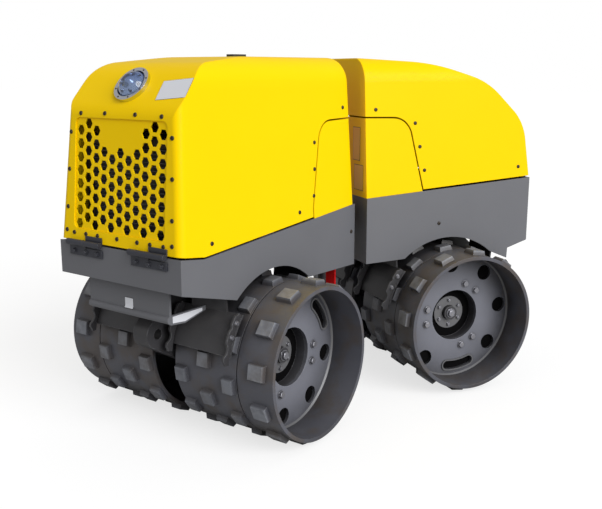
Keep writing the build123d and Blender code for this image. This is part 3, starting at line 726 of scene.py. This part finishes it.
def slot_outline(at_r: float, arc_deg: float, radius: float, steps: int = 10) -> list[Pair]:
    """Long window that follows an arc about the origin, its middle on the x axis.

    Args:
        at_r: Radius of the arc.
        arc_deg: Angle between the centres of the two ends.
        radius: Half of the window's width.
        steps: Points on each side and each end, less one.

    Returns:
        The outline's points.
    """
    half = radians(arc_deg / 2)
    points = []
    for way, side_r in ((1, at_r + radius), (-1, at_r - radius)):
        for step in range(steps + 1):
            points.append(polar(side_r, way * half * (2 * step / steps - 1)))
        centre_x, centre_y = polar(at_r, way * half)
        for step in range(1, steps):
            x, y = polar(radius, way * half + pi * step / steps + (0 if way > 0 else pi))
            points.append((centre_x + x, centre_y + y))
    return points


def hit(node: str, start: Vector, way: Vector) -> tuple[Vector, Vector]:
    """First point of a node's surface along a ray.

    Args:
        node: CAD node.
        start: Start of the ray.
        way: Its direction.

    Returns:
        The point and the outward normal there.
    """
    found, point, normal, _ = NODES[node].ray_cast(start, way)
    if not found:
        raise ValueError(f"no surface of {node} from {tuple(start)}")
    return point, normal


def seat(node: str, point: Vector, out: Vector) -> Matrix:
    """Plane on a node's surface, found near a point against an outward direction."""
    return facing(*hit(node, point + out * RAY_REACH * MM, -out))


# Fasteners and plates


@dataclass(frozen=True)
class Screw:
    """Low round screw head with a socket."""

    head_r: float = 6.5
    head_h: float = 3.2
    socket_r: float = 2.6
    socket_deep: float = 1.8
    segments: int = 20

    def add(self, maker: MeshMaker, place: Matrix) -> None:
        """Add one screw head on a plane."""
        r, h, s = self.head_r, self.head_h, self.socket_r
        profile = [(r, SUNK), (r, 0.3 * h), (0.9 * r, 0.7 * h), (0.65 * r, h), (s, h)]
        maker.turned([*profile, (s, h - self.socket_deep)], place, self.segments)


@dataclass(frozen=True)
class HexBolt:
    """Hexagon bolt head on a washer."""

    across: float = 19.0
    head_h: float = 8.0
    washer_r: float = 13.5
    washer_h: float = 2.5
    chamfer: float = 1.2
    segments: int = 24

    def add(self, maker: MeshMaker, place: Matrix, turn_deg: float = 0.0) -> None:
        """Add one bolt head.

        Args:
            maker: Mesh that gets the bolt.
            place: Plane of the surface under it.
            turn_deg: Turn of the hexagon about its axis.
        """
        base = [(self.washer_r, -0.3), (self.washer_r, self.washer_h)]
        maker.turned(base, place, self.segments)
        corner = self.across / 2 / cos(pi / 6)
        top = self.washer_h + self.head_h
        head = [(corner, self.washer_h), (corner, top - self.chamfer), (0.86 * corner, top)]
        maker.turned(head, place @ Matrix.Rotation(radians(turn_deg), 4, "Z"), 6)


SCREW = Screw()
SMALL_BOLT = HexBolt(across=12.0, head_h=5.0, washer_r=8.5, washer_h=1.6)
WHEEL_BOLT = HexBolt()
STUB_BOLT = HexBolt(across=24.0, head_h=9.0, washer_r=18.0, washer_h=3.0)


@dataclass(frozen=True)
class Plate:
    """Thin blank plate that follows the surface under it, with a dark edge.

    Attributes:
        name: Name that its two pieces start with.
        node: CAD node under it.
        body: Body it rides on.
        slot: Material slot of the record.
        finish: Finish of its face.
        width: Size along the plane's x.
        height: Size along the plane's y.
        edge: Width of the dark edge that shows round it.
        cells: Number of cells each way.
        thick: Thickness of each layer.
        edge_lift: Height of the edge's top over the surface.
        face_lift: The same for the face.
        reach: How far outside the surface its rays start.
    """

    name: str
    node: str
    body: str
    slot: str
    finish: Finish
    width: float
    height: float
    edge: float
    cells: int = 4
    thick: float = 0.4
    edge_lift: float = 0.5
    face_lift: float = 0.8
    reach: float = 80.0

    def sheet(self, maker: MeshMaker, place: Matrix, grow: float, lift: float) -> None:
        """Add one layer of the plate.

        Args:
            maker: Mesh that gets the layer.
            place: Plane near the surface.
            grow: How far it reaches beyond the plate's size.
            lift: Height of its top over the surface.
        """
        inward = -(place.to_3x3() @ UP)
        size_x, size_y = self.width + 2 * grow, self.height + 2 * grow
        last = self.cells
        layers = []
        for level in (lift - self.thick, lift):
            grid = {}
            for row in range(last + 1):
                for column in range(last + 1):
                    x, y = size_x * (column / last - 0.5), size_y * (row / last - 0.5)
                    start = place @ (Vector((x, y, self.reach)) * MM)
                    point, normal = hit(self.node, start, inward)
                    grid[row, column] = maker.mesh.verts.new(point + normal * level * MM)
            layers.append(grid)
        for row in range(last):
            for column in range(last):
                corners = [(row + down, column + on) for down, on in CELL_CORNERS]
                for grid in layers:
                    maker.mesh.faces.new([grid[corner] for corner in corners])
        rim = [(0, c) for c in range(last)] + [(r, last) for r in range(last)]
        rim += [(last, c) for c in range(last, 0, -1)] + [(r, 0) for r in range(last, 0, -1)]
        low, high = layers
        for here, after in zip(rim, rim[1:] + rim[:1]):
            maker.mesh.faces.new((low[here], low[after], high[after], high[here]))

    def build(self, place: Matrix) -> None:
        """Make the plate's edge and face as two pieces at a plane near the surface."""
        edge = ("edge", self.edge, self.edge_lift, PLATE_EDGE)
        for suffix, grow, lift, coat in (edge, ("face", 0.0, self.face_lift, self.finish)):
            maker = MeshMaker()
            self.sheet(maker, place, grow, lift)
            maker.piece(f"{self.name}_{suffix}", self.body, coat, self.slot)


# Sub-assemblies


@dataclass
class CadDress:
    """Finishes of the carried-over CAD nodes."""

    def build(self) -> None:
        """Give each node its finish."""
        for name, node in NODES.items():
            plain = name.removeprefix("front_").removeprefix("rear_")
            finish = NODE_FINISHES.get(name) or NODE_FINISHES[plain]
            node.data.materials.clear()
            node.data.materials.append(finish.material())
            LOG.info("%s dressed as %s", name, finish.name)


@dataclass
class HoodFixings:
    """Screws of the hoods and the chassis sides.

    Places are x and z on the sides, y and z on the front face, and x and y on the rear top.
    """

    face: tuple[Pair, ...] = (
        (165, 1006), (62, 1008), (207, 951), (212, 842), (216, 731),
        (219, 662), (186, 657), (134, 657), (83, 657),
    )
    face_middle: Pair = (0, 657)
    front_sides: tuple[Pair, ...] = (
        (73, 1005), (245, 900), (252, 815), (263, 730), (344, 687), (758, 654),
    )
    rear_sides: tuple[Pair, ...] = (
        (-182, 995), (-336, 946), (-354, 864), (-372, 781), (-772, 777),
    )
    rear_top: Pair = (-495, 176)
    skirts: tuple[Pair, Pair] = ((50, 581), (-433, 588))
    ahead_x: float = 900.0
    beside_y: float = 300.0
    above_z: float = 1200.0

    def sides(self, half: Half, node: str, places: Iterable[Pair], maker: MeshMaker) -> None:
        """Set screws on both sides of a node.

        Args:
            half: Half of the machine.
            node: CAD node under the screws.
            places: x and z of each screw.
            maker: Mesh that gets them.
        """
        for side in Side:
            for x, z in places:
                point = half.at(x, self.beside_y * side.value, z)
                SCREW.add(maker, seat(node, point, half.dir(0, side.value, 0)))

    def build(self) -> None:
        """Make the screws of each body as one piece."""
        front, rear = Half
        maker = MeshMaker()
        self.sides(front, "front_hood", self.front_sides, maker)
        spots = [(side.value * y, z) for side in Side for y, z in self.face]
        for y, z in (*spots, self.face_middle):
            point = front.at(self.ahead_x, y, z)
            SCREW.add(maker, seat("front_hood", point, front.dir(1, 0, 0)))
        maker.piece("front_hood_screws", "front_hood", SCREW_BLACK, "black_plastic")

        maker = MeshMaker()
        self.sides(rear, "rear_hood", self.rear_sides, maker)
        x, y = self.rear_top
        for side in Side:
            SCREW.add(maker, seat("rear_hood", rear.at(x, side.value * y, self.above_z), UP))
        maker.piece("rear_hood_screws", "rear_hood", SCREW_BLACK, "black_plastic")

        for half, place in zip(Half, self.skirts):
            maker = MeshMaker()
            self.sides(half, f"{half.value}_chassis", [place], maker)
            name = f"{half.value}_skirt_screws"
            maker.piece(name, half.frame_body, SCREW_BLACK, "black_plastic")


@dataclass
class HingeFeet:
    """Outer halves of the hood hinges' fixed leaves, and the bolts in these leaves."""

    hinge_y: float = 132.0
    leaf_l: float = 70.0
    leaf_t: float = 4.3
    leaf_h: float = 25.0
    corner_r: float = 3.0
    bolt_step: float = 50.0
    bolt_turn_deg: float = 25.0
    front: Pair = (884.0, FLOOR_Z + 67.5)
    rear: Pair = (-819.0, FLOOR_Z + 175.5)

    def build(self) -> None:
        """Make the leaves and the bolts of each half."""
        outline = box_outline(self.leaf_l, self.leaf_h, self.corner_r, 3)
        for half, (end_x, z) in ((Half.FRONT, self.front), (Half.REAR, self.rear)):
            leaves, bolts = MeshMaker(), MeshMaker()
            out = half.dir(half.way, 0, 0)
            for middle in (-self.hinge_y, self.hinge_y):
                foot = facing(half.at(end_x, middle + self.leaf_l / 2 + 1, z), out)
                leaves.prism(outline, foot, self.leaf_t)
                for step in (-1, 0, 1):
                    x = end_x + half.way * self.leaf_t
                    spot = facing(half.at(x, middle + step * self.bolt_step, z), out)
                    SMALL_BOLT.add(bolts, spot, self.bolt_turn_deg * step)
            body, name = half.frame_body, f"{half.value}_hinge"
            leaves.piece(f"{name}_feet", body, HINGE_PAINT, "grey_paint", bevel=0.5)
            bolts.piece(f"{name}_bolts", body, HINGE_PAINT, "grey_paint")


@dataclass
class Wheel:
    """Bolts, hub plate, window shades, window lips and weld bead of one wheel.

    Attributes named _y are distances from the machine's middle, and those named _at_r are
    radii on which a row stands.
    """

    half: Half
    side: Side
    pairs_deg: Point
    first_window_deg: float
    bolts: MeshMaker = field(default_factory=MeshMaker)
    trim: MeshMaker = field(default_factory=MeshMaker)
    shade: MeshMaker = field(default_factory=MeshMaker)
    face_y: float = 310.0
    web_y: float = 298.0
    bolt_at_r: float = 120.0
    pair_deg: float = 13.0
    hub_y: float = 264.0
    hub_plate_r: float = 60.0
    hub_plate_t: float = 5.0
    hub_plate_low: float = 0.4
    hub_bolt_at_r: float = 46.0
    hub_bolts: int = 6
    cup_r: float = 92.0
    stub_r: float = 27.0
    film: float = 0.6
    windows: int = 8
    slots: tuple[int, ...] = (0, 3)
    window_at_r: float = 190.0
    window_r: float = 27.5
    slot_deg: float = 28.0
    slot_r: float = 16.0
    lip: float = 5.0
    lip_h: float = 4.0
    rim_r: float = 228.0
    bead: float = 6.0

    @property
    def name(self) -> str:
        """Start of its pieces' names."""
        return f"{self.half.value}_{self.side.word}"

    def plane(self, y: float, x: float = 0.0, z: float = 0.0) -> Matrix:
        """Plane that faces outwards at a y, its middle at x and z from the axle."""
        at = (self.half.way * AXLE_X + x, self.side.value * y, AXLE_Z + z)
        return facing(self.half.at(*at), self.half.dir(0, self.side.value, 0))

    def window(self, index: int) -> None:
        """Lay the shade in one window by its number, and the lip round a long one."""
        turn = self.first_window_deg + index * 360 / self.windows
        if self.side is Side.LEFT:
            turn = 180.0 - turn
        spin = Matrix.Rotation(radians(turn), 4, "Z")
        web = self.plane(self.web_y) @ spin
        if index not in self.slots:
            spot = moved(web, self.window_at_r, 0)
            self.shade.turned([(self.window_r, 0), (self.window_r, self.film)], spot, 32)
            return
        glass, inner, outer = (
            slot_outline(self.window_at_r, self.slot_deg, self.slot_r + grow)
            for grow in (-0.5, 0, self.lip)
        )
        self.shade.prism(glass, web, self.film)
        sections = ((outer, SUNK), (outer, self.lip_h), (inner, self.lip_h), (inner, SUNK))
        rings = [level_ring(outline, level) for outline, level in sections]
        self.trim.loft(rings, self.plane(self.face_y) @ spin, closed=False)

    def hub(self) -> None:
        """Set the hub plate, its bolts and the shade of the cup round it."""
        place = self.plane(self.hub_y)
        for maker, r, low, top in (
            (self.shade, self.cup_r, 0.0, self.film),
            (self.trim, self.hub_plate_r, self.hub_plate_low, self.hub_plate_t),
        ):
            profile = [(r, low), (r, top), (self.stub_r, top), (self.stub_r, low)]
            maker.turned(profile, place, 48, hollow=True)
        for index in range(self.hub_bolts):
            x, y = polar(self.hub_bolt_at_r, 2 * pi * (index + 0.5) / self.hub_bolts)
            SMALL_BOLT.add(self.bolts, moved(place, x, y, self.hub_plate_t), 20.0 * index)

    def build(self) -> None:
        """Make the wheel's fittings as three pieces."""
        for middle in self.pairs_deg:
            for way in (-1, 1):
                x, z = polar(self.bolt_at_r, radians(middle + way * self.pair_deg))
                WHEEL_BOLT.add(self.bolts, self.plane(self.face_y, x, z), middle)
        self.hub()
        for index in range(self.windows):
            self.window(index)
        wide = self.rim_r + 1
        bead = [(wide, -1), (wide, self.bead), (self.rim_r - self.bead, -1)]
        self.trim.turned(bead, self.plane(self.face_y), 96, hollow=True)
        body = f"{self.half.value}_wheel_{self.side.word}"
        self.bolts.piece(f"{self.name}_wheel_bolts", body, ZINC, "plated_steel", bevel=0.5)
        self.trim.piece(f"{self.name}_disc_trim", body, DISC, "ring_paint")
        self.shade.piece(f"{self.name}_hollow_shade", body, SHADE, "drum_paint")


@dataclass
class Wheels:
    """The four wheels' fittings, and the bolts on the ends of their fixed stubs."""

    pairs_deg: tuple[Point, Point] = ((-172.0, -52.0, 68.0), (2.0, 122.0, -118.0))
    first_window_deg: Pair = (11.0, -96.0)
    stub_y: float = 284.0

    def build(self) -> None:
        """Make the fittings of each half."""
        for half, pairs, first in zip(Half, self.pairs_deg, self.first_window_deg):
            stubs = MeshMaker()
            for side in Side:
                wheel = Wheel(half, side, pairs, first)
                wheel.build()
                STUB_BOLT.add(stubs, wheel.plane(self.stub_y), 12.0)
            name = f"{half.value}_stub_bolts"
            stubs.piece(name, half.frame_body, ZINC, "plated_steel", bevel=0.6)


@dataclass
class ScraperCheeks:
    """Lobed end plates of the scraper bars, with their bolts."""

    near_r: float = 269.0
    far_r: float = 294.0
    from_deg: float = 9.0
    to_deg: float = 41.0
    steps: int = 48
    notch_out: float = 4.0
    notch_r: float = 13.0
    small_notch_deg: float = 10.0
    small_notch_share: float = 0.7
    pin_at: Pair = (290.0, 94.0)
    pin_notch_r: float = 23.0
    starts_y: Pair = (56.0, 282.0)
    thick: float = 8.0
    bolts_deg: Pair = (26.0, 35.0)
    bolt_in: float = 2.0

    def outline(self) -> list[Pair]:
        """Outline of a cheek about the axle, its notches cut from the outer edge."""
        notches = [
            (self.far_r + self.notch_out, radians(degrees), self.notch_r * share)
            for degrees, share in (
                (self.from_deg, 1.0),
                (self.to_deg - self.small_notch_deg, self.small_notch_share),
                (self.to_deg, 1.0),
            )
        ]
        pin_x, pin_z = self.pin_at
        notches.append((hypot(pin_x, pin_z), atan2(pin_z, pin_x), self.pin_notch_r))
        far = []
        for step in range(self.steps + 1):
            degrees = self.from_deg + (self.to_deg - self.from_deg) * step / self.steps
            edge = self.far_r
            for centre_r, centre_angle, radius in notches:
                along, across = polar(centre_r, radians(degrees) - centre_angle)
                if abs(across) < radius:
                    edge = min(edge, along - sqrt(radius**2 - across**2))
            far.append(polar(edge, radians(degrees)))
        near = [(self.near_r * x / hypot(x, z), self.near_r * z / hypot(x, z)) for x, z in far]
        return far + near[::-1]

    def build(self) -> None:
        """Make the cheeks and bolts of each half."""
        bolt_at_r = (self.near_r + self.far_r) / 2 - self.bolt_in
        bolt_y = self.starts_y[1] + self.thick
        for half in Half:
            cheeks, bolts = MeshMaker(), MeshMaker()
            axle_x = half.way * AXLE_X
            for end in (1, -1):
                outline = [(axle_x + end * x, AXLE_Z + z) for x, z in self.outline()]
                for side in Side:
                    for y in self.starts_y:
                        faces = (side.value * y, side.value * (y + self.thick))
                        cheeks.upright(outline, half, faces)
                    for angle in map(radians, self.bolts_deg):
                        x, z = polar(bolt_at_r, angle)
                        at = half.at(axle_x + end * x, side.value * bolt_y, AXLE_Z + z)
                        SMALL_BOLT.add(bolts, facing(at, half.dir(0, side.value, 0)), 8.0)
            body, name = half.frame_body, f"{half.value}_scraper"
            cheeks.piece(f"{name}_cheeks", body, UNDER, "frame_paint", bevel=0.8)
            bolts.piece(f"{name}_bolts", body, ZINC, "plated_steel")


@dataclass
class LowPlateGussets:
    """Side gussets behind the low front plate, one with a blank label."""

    outer_y: float = 168.0
    thick: float = 8.0
    end_x: float = 846.0
    long: float = 146.0
    nose: float = 14.0
    low_z: float = FLOOR_Z - 126.0
    high_z: float = FLOOR_Z - 86.0
    slope: float = 58.0
    label_faces_y: Pair = (-0.2, 0.6)

    def build(self) -> None:
        """Make both gussets and the label."""
        end, low, high = self.end_x, self.low_z, self.high_z
        outline = [
            (end, high),
            (end - self.long, high),
            (end - self.long, high - self.nose),
            (end - self.slope, low + 6),
            (end, low + 12),
        ]
        inset = [
            (end - 8, high - 4),
            (end - 130, high - 4),
            (end - 130, high - 13),
            (end - self.slope, low + 12),
            (end - 8, low + 17),
        ]
        gussets, label = MeshMaker(), MeshMaker()
        for side in Side:
            faces = (side.value * (self.outer_y - self.thick), side.value * self.outer_y)
            gussets.upright(outline, Half.FRONT, faces)
        gussets.piece("low_plate_gussets", "front_frame", GREY, "grey_paint", bevel=1.0)
        faces = tuple(self.outer_y + level for level in self.label_faces_y)
        label.upright(inset, Half.FRONT, faces)
        label.piece("gusset_label", "front_frame", WHITE_PLATE, "grey_paint")


@dataclass
class ReceiverEye:
    """Insides of the domed eye and the screws of its ring.

    Attributes low and high are x and z of the brow's two ends. The eye stands at its middle.
    """

    low: Pair = (850.0, FLOOR_Z + 486.0)
    high: Pair = (742.0, FLOOR_Z + 610.0)
    cone: tuple[Pair, ...] = ((37, 2), (37, 5), (29, 8), (15, 19), (10, 26), (4, 29))
    stud: tuple[Pair, ...] = ((4.5, 5), (4.5, 13), (3.2, 16), (1, 17))
    studs: int = 6
    stud_at_r: float = 27.0
    ring_t: float = 12.0
    screw: Screw = Screw(head_r=2.6, head_h=1.4, socket_r=1.0, socket_deep=0.8, segments=12)
    screws: int = 8
    screw_at_r: float = 52.0

    def build(self) -> None:
        """Make the silver cone, its small parts and the ring's screws."""
        half = Half.FRONT
        out = half.dir(self.high[1] - self.low[1], 0, self.low[0] - self.high[0])
        x, z = ((low + high) / 2 for low, high in zip(self.low, self.high))
        place = facing(half.at(x, 0, z), out)
        maker = MeshMaker()
        maker.turned(self.cone, place, 40)
        for index in range(self.studs):
            spot = moved(place, *polar(self.stud_at_r, 2 * pi * index / self.studs))
            maker.turned(self.stud, spot, 12)
        maker.piece("eye_insides", "front_hood", CHROME, "eye_rim")

        maker = MeshMaker()
        for index in range(self.screws):
            x, y = polar(self.screw_at_r, 2 * pi * (index + 0.5) / self.screws)
            self.screw.add(maker, moved(place, x, y, self.ring_t))
        maker.piece("eye_ring_screws", "front_hood", SCREW_BLACK, "black_plastic")


@dataclass
class RadiatorFins:
    """Fins and tubes in the radiator's front."""

    front_x: float = 828.0
    sink: float = 8.0
    half_w: float = 153.0
    low_z: float = FLOOR_Z + 34.0
    high_z: float = FLOOR_Z + 382.0
    fin_step: float = 4.5
    fin_t: float = 1.0
    fin_deep: float = 4.0
    tube_step: float = 12.0
    tube_t: float = 3.0
    tube_deep: float = 5.0

    def build(self) -> None:
        """Make the fins and the tubes as two pieces."""
        half = Half.FRONT
        wide, tall = 2 * self.half_w, self.high_z - self.low_z
        middle = half.at(self.front_x - self.sink, 0, (self.low_z + self.high_z) / 2)
        place = facing(middle, half.dir(1, 0, 0))
        fins, tubes = MeshMaker(), MeshMaker()
        outline = box_outline(self.fin_t, tall, 0.3, 1)
        for x in self.row(wide, self.fin_step):
            fins.prism(outline, moved(place, x, 0), self.fin_deep)
        outline = box_outline(wide, self.tube_t, 1.2, 2)
        for y in self.row(tall, self.tube_step):
            tubes.prism(outline, moved(place, 0, y), self.tube_deep)
        fins.piece("radiator_fins", "front_frame", ALUMINIUM, "radiator_core")
        tubes.piece("radiator_tubes", "front_frame", ALUMINIUM, "radiator_core")

    @staticmethod
    def row(length: float, step: float) -> list[float]:
        """Even places about the middle of a length."""
        count = int(length / step)
        return [(index - (count - 1) / 2) * step for index in range(count)]


@dataclass
class BlankPlates:
    """Plates without text on the shoulder, the rear panel and the low plate.

    Attributes are the point and the outward direction of each place.
    """

    shoulder: tuple[Point, Point] = ((798, 166, 1074), (0.70, 0.12, 0.70))
    vent: tuple[Point, Point] = ((-142, 164, 876), (1, 0, 0))
    below_vent: tuple[Point, Point] = ((-142, 184, 760), (1, 0, 0))
    low: tuple[Point, Point] = ((850, 4, 462), (1, 0, 0))

    def build(self) -> None:
        """Make all plates."""
        hood = ("front_hood", "front_hood", "yellow_paint", WHITE_PLATE)
        panel = ("rear_panel", "rear_frame", "yellow_paint", YELLOW_PLATE)
        chassis = ("front_chassis", "front_frame", "grey_paint", WHITE_PLATE)
        for half, (point, out), plate in (
            (Half.FRONT, self.shoulder, Plate("shoulder_plate", *hood, 104, 66, 0.8, cells=10)),
            (Half.REAR, self.vent, Plate("panel_plate_1", *panel, 52, 112, 1.6)),
            (Half.REAR, self.below_vent, Plate("panel_plate_2", *panel, 66, 86, 1.6)),
            (Half.FRONT, self.low, Plate("low_plate_label", *chassis, 34, 32, 0.6)),
        ):
            plate.build(facing(half.at(*point), half.dir(*out)))


@dataclass
class EngineTop:
    """Ribbed rocker cover on the engine block, with its bolts."""

    at: Point = (530.0, 0.0, 1160.0)
    long: float = 250.0
    wide: float = 110.0
    high: float = 34.0
    corner_r: float = 14.0
    ribs: int = 9
    rib_step: float = 22.0
    rib_t: float = 6.0
    rib_h: float = 4.0
    rib_in: float = 34.0
    flange_h: float = 8.0
    bolts_in: Pair = (7.0, 16.0)

    def build(self) -> None:
        """Make the cover and the bolts."""
        half = Half.FRONT
        top, _ = hit("engine_block", half.at(*self.at), -UP)
        place = facing(top, UP, half.dir(1, 0, 0))
        flange, high = self.flange_h, self.high
        steps = ((0, 0), (0, flange), (-8, flange + 2), (-12, high - 4), (-20, high))
        rings = [
            level_ring(
                box_outline(self.wide + grow, self.long + grow, self.corner_r + grow / 2), level
            )
            for grow, level in steps
        ]
        maker = MeshMaker()
        maker.loft(rings, place)
        for index in range(self.ribs):
            y = (index - (self.ribs - 1) / 2) * self.rib_step
            rib = box_outline(self.wide - self.rib_in, self.rib_t, 2, 2)
            maker.prism(rib, moved(place, 0, y, high - 1), self.rib_h)
        maker.piece("rocker_cover", "front_frame", PLASTIC, "engine_iron", bevel=0.8)

        maker = MeshMaker()
        x, y = self.wide / 2 - self.bolts_in[0], self.long / 2 - self.bolts_in[1]
        for x_way in (-1, 1):
            for y_way in (-1, 0, 1):
                SMALL_BOLT.add(maker, moved(place, x_way * x, y_way * y, flange))
        maker.piece("rocker_cover_bolts", "front_frame", ZINC, "plated_steel")


@dataclass
class SteeringFittings:
    """Gland and ports of the steering cylinder."""

    ports_at: Pair = (0.16, 0.86)
    barrel_r: float = 28.0
    port_nut: tuple[Pair, ...] = ((9, -2), (9, 8))
    port_end: tuple[Pair, ...] = ((6, 8), (6, 16), (4, 18))
    gland_in: float = 12.0

    def build(self) -> None:
        """Make the gland ring and the ports on the barrel."""
        foot = Vector(JOINTS["barrel_swing"]["pos_m"])
        axis = Vector(JOINTS["rod_slide"]["axis"]).normalized()
        corners = [vertex.co for vertex in NODES["steering_barrel"].data.vertices]
        far = max(((corner - foot).dot(axis) for corner in corners), key=abs)
        way = axis if far > 0 else -axis
        heights = [corner.z for corner in corners]
        foot.z = (max(heights) + min(heights)) / 2
        maker = MeshMaker()
        for share in self.ports_at:
            base = foot + way * abs(far) * share + UP * (self.barrel_r - 1) * MM
            place = facing(base, UP, way)
            maker.turned(self.port_nut, place, 6)
            maker.turned(self.port_end, place, 20)
        maker.piece("cylinder_ports", "cylinder_barrel", ZINC, "plated_steel", bevel=0.4)

        maker = MeshMaker()
        inner, outer = self.barrel_r - 1, self.barrel_r + 2
        gland = facing(foot + way * (abs(far) - self.gland_in * MM), way)
        maker.turned([(inner, 0), (outer, 1), (outer, 9), (inner, 10)], gland, 40)
        maker.piece("cylinder_gland", "cylinder_barrel", ZINC, "plated_steel")


@dataclass
class Studio:
    """Floor, world light, key light and the camera at the photograph's view.

    Attributes:
        camera_from_pivot: Place of the camera, in metres.
        yaw_deg: Its heading.
        pitch_deg: How far it looks down.
        lens_mm: Its focal length.
        sensor_mm: Width of its sensor.
        floor_half: Half of the floor's size, in metres.
        floor_bounce: Tone of the floor to light that bounces off it.
        floor_tone: Tone of the floor to the camera, which keeps the machine's shadow.
        floor_light: Glow of the floor to the camera.
        key_from: Direction that the key light comes from.
        key_strength: Strength of the key light.
        key_angle_deg: Its apparent size.
        world_strength: Strength of the world as light.
    """

    camera_from_pivot: Point = (2.482, 1.836, 1.131)
    yaw_deg: float = -143.5
    pitch_deg: float = 12.3
    lens_mm: float = 50.9
    sensor_mm: float = 36.0
    floor_half: float = 40.0
    floor_bounce: float = 0.5
    floor_tone: float = 0.38
    floor_light: float = 0.71
    key_from: Point = (0.19, 0.80, 0.42)
    key_strength: float = 2.8
    key_angle_deg: float = 45.0
    world_strength: float = 0.44

    def build(self) -> None:
        """Set everything that isn't part of the machine."""
        bpy.context.scene.view_settings.view_transform = "Standard"
        self.floor()
        self.world()
        self.sun()
        self.camera()

    def floor(self) -> None:
        """Lay a plain pale floor: near white to the camera, and it keeps the shadow."""
        data = bpy.data.meshes.new("floor")
        half = self.floor_half
        corners = [(-half, -half, 0), (half, -half, 0), (half, half, 0), (-half, half, 0)]
        data.from_pydata(corners, [], [(0, 1, 2, 3)])
        made, tree, skin = new_material("floor_white")
        seen = tree.nodes.new("ShaderNodeLightPath").outputs["Is Camera Ray"]
        look = {
            "Base Color": mixed(tree, seen, (self.floor_bounce,) * 3, (self.floor_tone,) * 3),
            "Roughness": 0.9,
            "Specular IOR Level": 0.0,
            "Emission Color": mixed(tree, seen, (0.0,) * 3, (self.floor_light,) * 3),
            "Emission Strength": 1.0,
        }
        feed(tree, skin, look)
        data.materials.append(made)
        floor = bpy.data.objects.new("floor", data)
        bpy.context.scene.collection.objects.link(floor)

    def world(self) -> None:
        """Set a world that is white to the camera and through glass, and softer as light."""
        world = bpy.data.worlds.new("studio")
        bpy.context.scene.world = world
        world.use_nodes = True
        tree = world.node_tree
        path = add_node(tree, "ShaderNodeLightPath", {}).outputs
        seen = math_node(tree, "MAXIMUM", path["Is Camera Ray"], path["Is Transmission Ray"])
        strength = range_node(tree, seen, (0, 1), (self.world_strength, 1.0))
        look = {"Color": (1, 1, 1, 1), "Strength": strength}
        feed(tree, tree.nodes["Background"], look)

    def sun(self) -> None:
        """Set a broad soft key light at the machine's left and above."""
        light = bpy.data.lights.new("key", "SUN")
        light.energy = self.key_strength
        light.angle = radians(self.key_angle_deg)
        lamp = bpy.data.objects.new("key", light)
        lamp.rotation_euler = (-Vector(self.key_from)).to_track_quat("-Z", "Y").to_euler()
        bpy.context.scene.collection.objects.link(lamp)

    def camera(self) -> None:
        """Set the camera where the photograph was taken."""
        data = bpy.data.cameras.new("camera")
        data.lens = self.lens_mm
        data.sensor_width = self.sensor_mm
        camera = bpy.data.objects.new("camera", data)
        camera.location = PIVOT + Vector(self.camera_from_pivot)
        yaw, pitch = radians(self.yaw_deg), radians(self.pitch_deg)
        look = Vector((cos(yaw) * cos(pitch), sin(yaw) * cos(pitch), -sin(pitch)))
        camera.rotation_euler = look.to_track_quat("-Z", "Y").to_euler()
        bpy.context.scene.collection.objects.link(camera)
        bpy.context.scene.camera = camera


def main() -> None:
    """Dress the machine and set the studio."""
    for sub_assembly in (
        CadDress(),
        HoodFixings(),
        HingeFeet(),
        Wheels(),
        ScraperCheeks(),
        LowPlateGussets(),
        ReceiverEye(),
        RadiatorFins(),
        BlankPlates(),
        EngineTop(),
        SteeringFittings(),
        Studio(),
    ):
        LOG.info("building %s", type(sub_assembly).__name__)
        sub_assembly.build()


if __name__ == "__main__":
    logging.basicConfig(level=logging.INFO)
    main()
